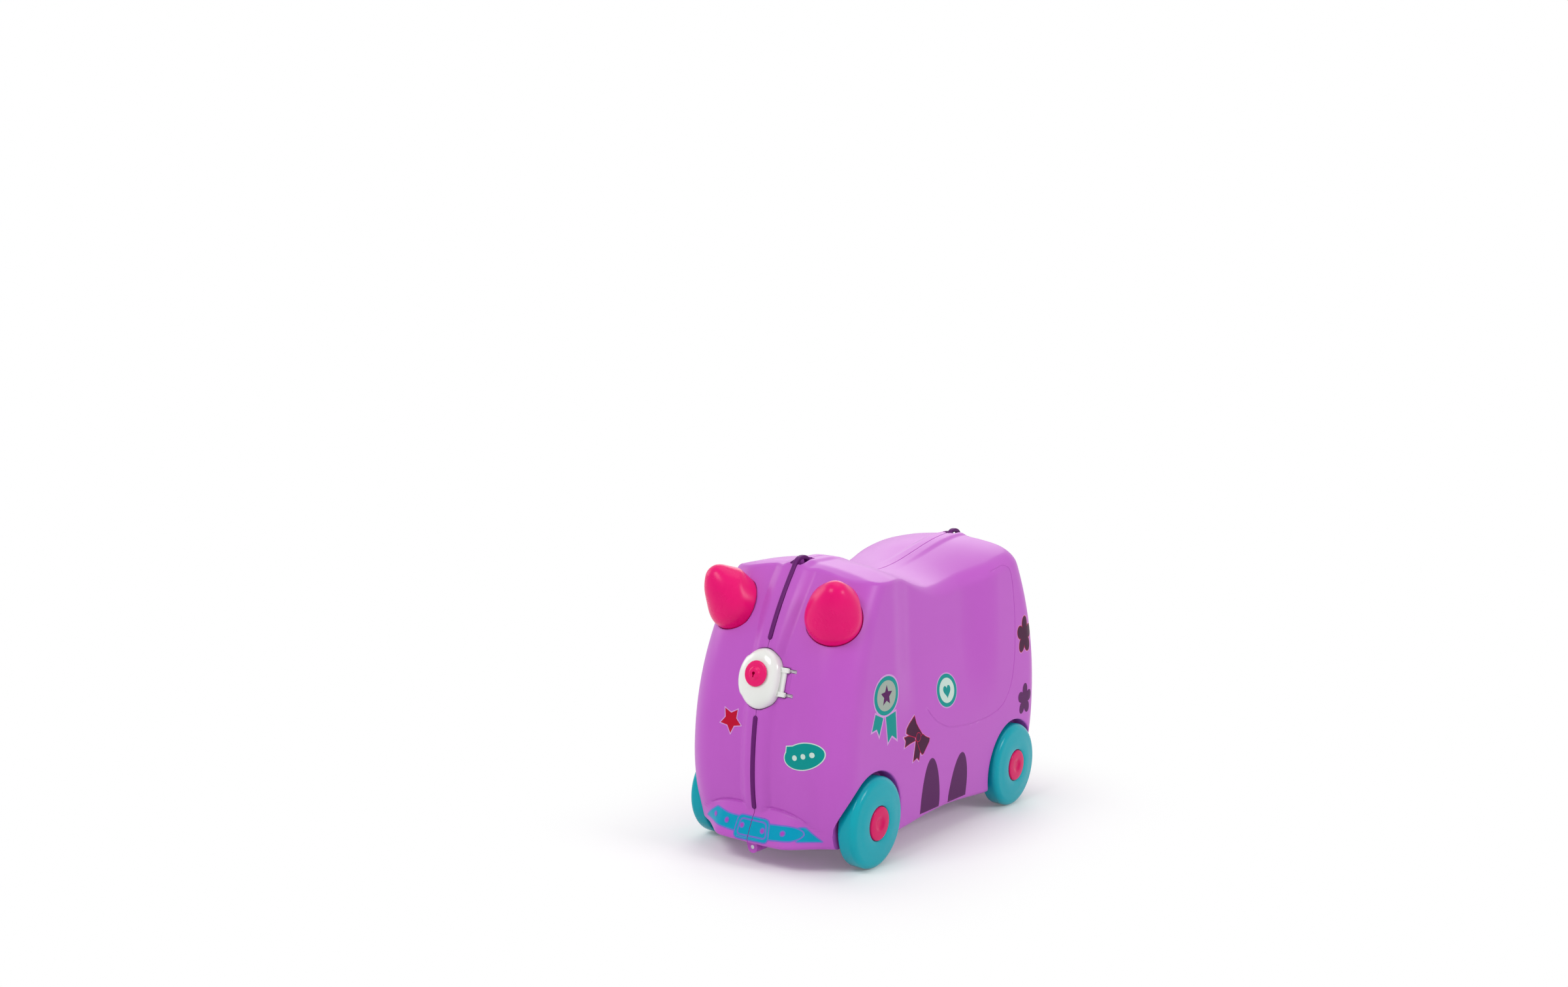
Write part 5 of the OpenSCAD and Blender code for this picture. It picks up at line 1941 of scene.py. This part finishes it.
@dataclass
class Studio:
    """Pale floor, soft lamps, white surround and the camera of the photograph."""

    eye: Point3 = (0.9720, -1.5744, 0.5575)
    yaw: float = -0.609818
    pitch: float = -0.109813
    roll: float = 0.0322921
    lens: float = 39.576
    floor_grey: float = 0.93
    fade: tuple[float, float] = (-0.05, 0.19)
    ambient: float = 0.5
    lamps: tuple[tuple[str, Point3, float, float], ...] = (
        ("key", (-0.3, -1.9, 2.0), 1.0, 23.0),
        ("side", (2.3, 0.2, 1.5), 0.9, 20.0),
        ("top", (0.1, 0.3, 2.3), 1.6, 8.0),
        ("rear", (-1.2, 1.9, 1.4), 1.4, 9.0),
        ("left", (-2.2, -0.4, 1.0), 1.2, 7.0),
    )

    def camera(self) -> None:
        """Places the camera."""
        d = Vector((math.sin(self.yaw) * math.cos(self.pitch), math.cos(self.yaw) * math.cos(self.pitch),
                    math.sin(self.pitch)))
        r = Vector((math.cos(self.yaw), -math.sin(self.yaw), 0))
        u = r.cross(d)
        right = r * math.cos(self.roll) + u * math.sin(self.roll)
        up = u * math.cos(self.roll) - r * math.sin(self.roll)
        data = bpy.data.cameras.new("camera")
        data.lens, data.sensor_width, data.sensor_fit = self.lens, 36.0, "HORIZONTAL"
        data.clip_start, data.clip_end = 0.05, 50.0
        obj = scene_object("camera", data)
        obj.matrix_world = axes_matrix(right, up, -d, self.eye)
        bpy.context.scene.camera = obj

    def floor(self) -> None:
        """Pale floor that turns white for the camera away from the object."""
        mesh = bpy.data.meshes.new("floor")
        s = 12.0
        mesh.from_pydata([(-s, -s, 0), (s, -s, 0), (s, s, 0), (-s, s, 0)], [], [(0, 1, 2, 3)])
        obj = scene_object("floor", mesh)
        material, d, shader = blank_material("floor_pale")
        where = d.add("ShaderNodeTexCoord").outputs["Object"]
        far = d.add("ShaderNodeVectorMath", {0: where}, operation="ABSOLUTE")
        far = d.add("ShaderNodeVectorMath", {0: far.outputs[0], 1: (0.10, 0.20, 0.0)}, operation="SUBTRACT")
        far = d.add("ShaderNodeVectorMath", {0: far.outputs[0], 1: (0.0, 0.0, 0.0)}, operation="MAXIMUM")
        dist = d.add("ShaderNodeVectorMath", {0: far.outputs[0]}, operation="LENGTH").outputs["Value"]
        grain = d.noise(where, 30.0, 4.0)
        tone = d.mix(grain, (self.floor_grey,) * 3 + (1,), (self.floor_grey * 0.985,) * 3 + (1,))
        d.link(tone, shader, "Base Color")
        shader.inputs["Roughness"].default_value = 0.65
        shader.inputs["Specular IOR Level"].default_value = 0.2
        fade = d.times(d.ramp(dist, *self.fade), self._seen(d))
        white = d.add("ShaderNodeEmission", {"Color": (1, 1, 1, 1), "Strength": 1.0})
        both = d.add("ShaderNodeMixShader", {0: fade, 1: shader.outputs[0], 2: white.outputs[0]})
        output = next(n for n in d.tree.nodes if n.type == "OUTPUT_MATERIAL")
        d.link(both.outputs[0], output, "Surface")
        mesh.materials.append(material)

    @staticmethod
    def _seen(d: Draft) -> Socket:
        """1 for the rays that look at the background: from the camera, in gloss and through glass."""
        path = d.add("ShaderNodeLightPath")
        return d.math("MAXIMUM", path.outputs["Is Camera Ray"],
                      d.math("MAXIMUM", path.outputs["Is Glossy Ray"], path.outputs["Is Transmission Ray"]))

    def surround(self) -> None:
        """White to the camera and to gloss, a plain soft level to everything else."""
        world = bpy.data.worlds.new("surround")
        world.use_nodes = True
        world.node_tree.nodes.clear()
        d = Draft(world.node_tree)
        strength = d.add("ShaderNodeMix", {0: self._seen(d), 2: self.ambient, 3: 1.0}, data_type="FLOAT")
        sky = d.add("ShaderNodeBackground", {"Color": (1, 1, 1, 1), "Strength": strength.outputs[0]})
        out = d.add("ShaderNodeOutputWorld")
        d.link(sky.outputs[0], out, "Surface")
        bpy.context.scene.world = world

    def light(self) -> None:
        """Hangs the soft lamps, each turned to the object."""
        for name, spot, size, power in self.lamps:
            data = bpy.data.lights.new(name, "AREA")
            data.shape, data.size, data.size_y, data.energy = "RECTANGLE", size, size * 0.8, power
            obj = scene_object(name, data)
            aim = Vector((0, 0, 0.15)) - Vector(spot)
            obj.location = spot
            obj.rotation_euler = aim.to_track_quat("-Z", "Y").to_euler()

    def make(self) -> None:
        """Sets up the camera, floor, surround and lamps."""
        self.camera()
        self.floor()
        self.surround()
        self.light()
        view = bpy.context.scene.view_settings
        view.view_transform = "Standard"


def dress_hardware() -> None:
    """Gives the axles and hinge pins their steel."""
    for node in ("hinge_pin_front", "hinge_pin_middle", "hinge_pin_rear", "axle_front_left",
                 "axle_front_right",
                 "axle_rear_left", "axle_rear_right"):
        dress_node(node, STEEL)


def main() -> None:
    """Builds the suitcase piece by piece, then the studio."""
    logging.basicConfig(level=logging.INFO, format="%(message)s")
    skin = Skin()
    Shells(skin).make()
    for strip in STRIPS:
        strip.make()
    Grips().make()
    Wheels().make()
    Catches().make()
    dress_hardware()
    Artwork(Printer(skin)).make()
    Studio().make()


if __name__ == "__main__":
    main()
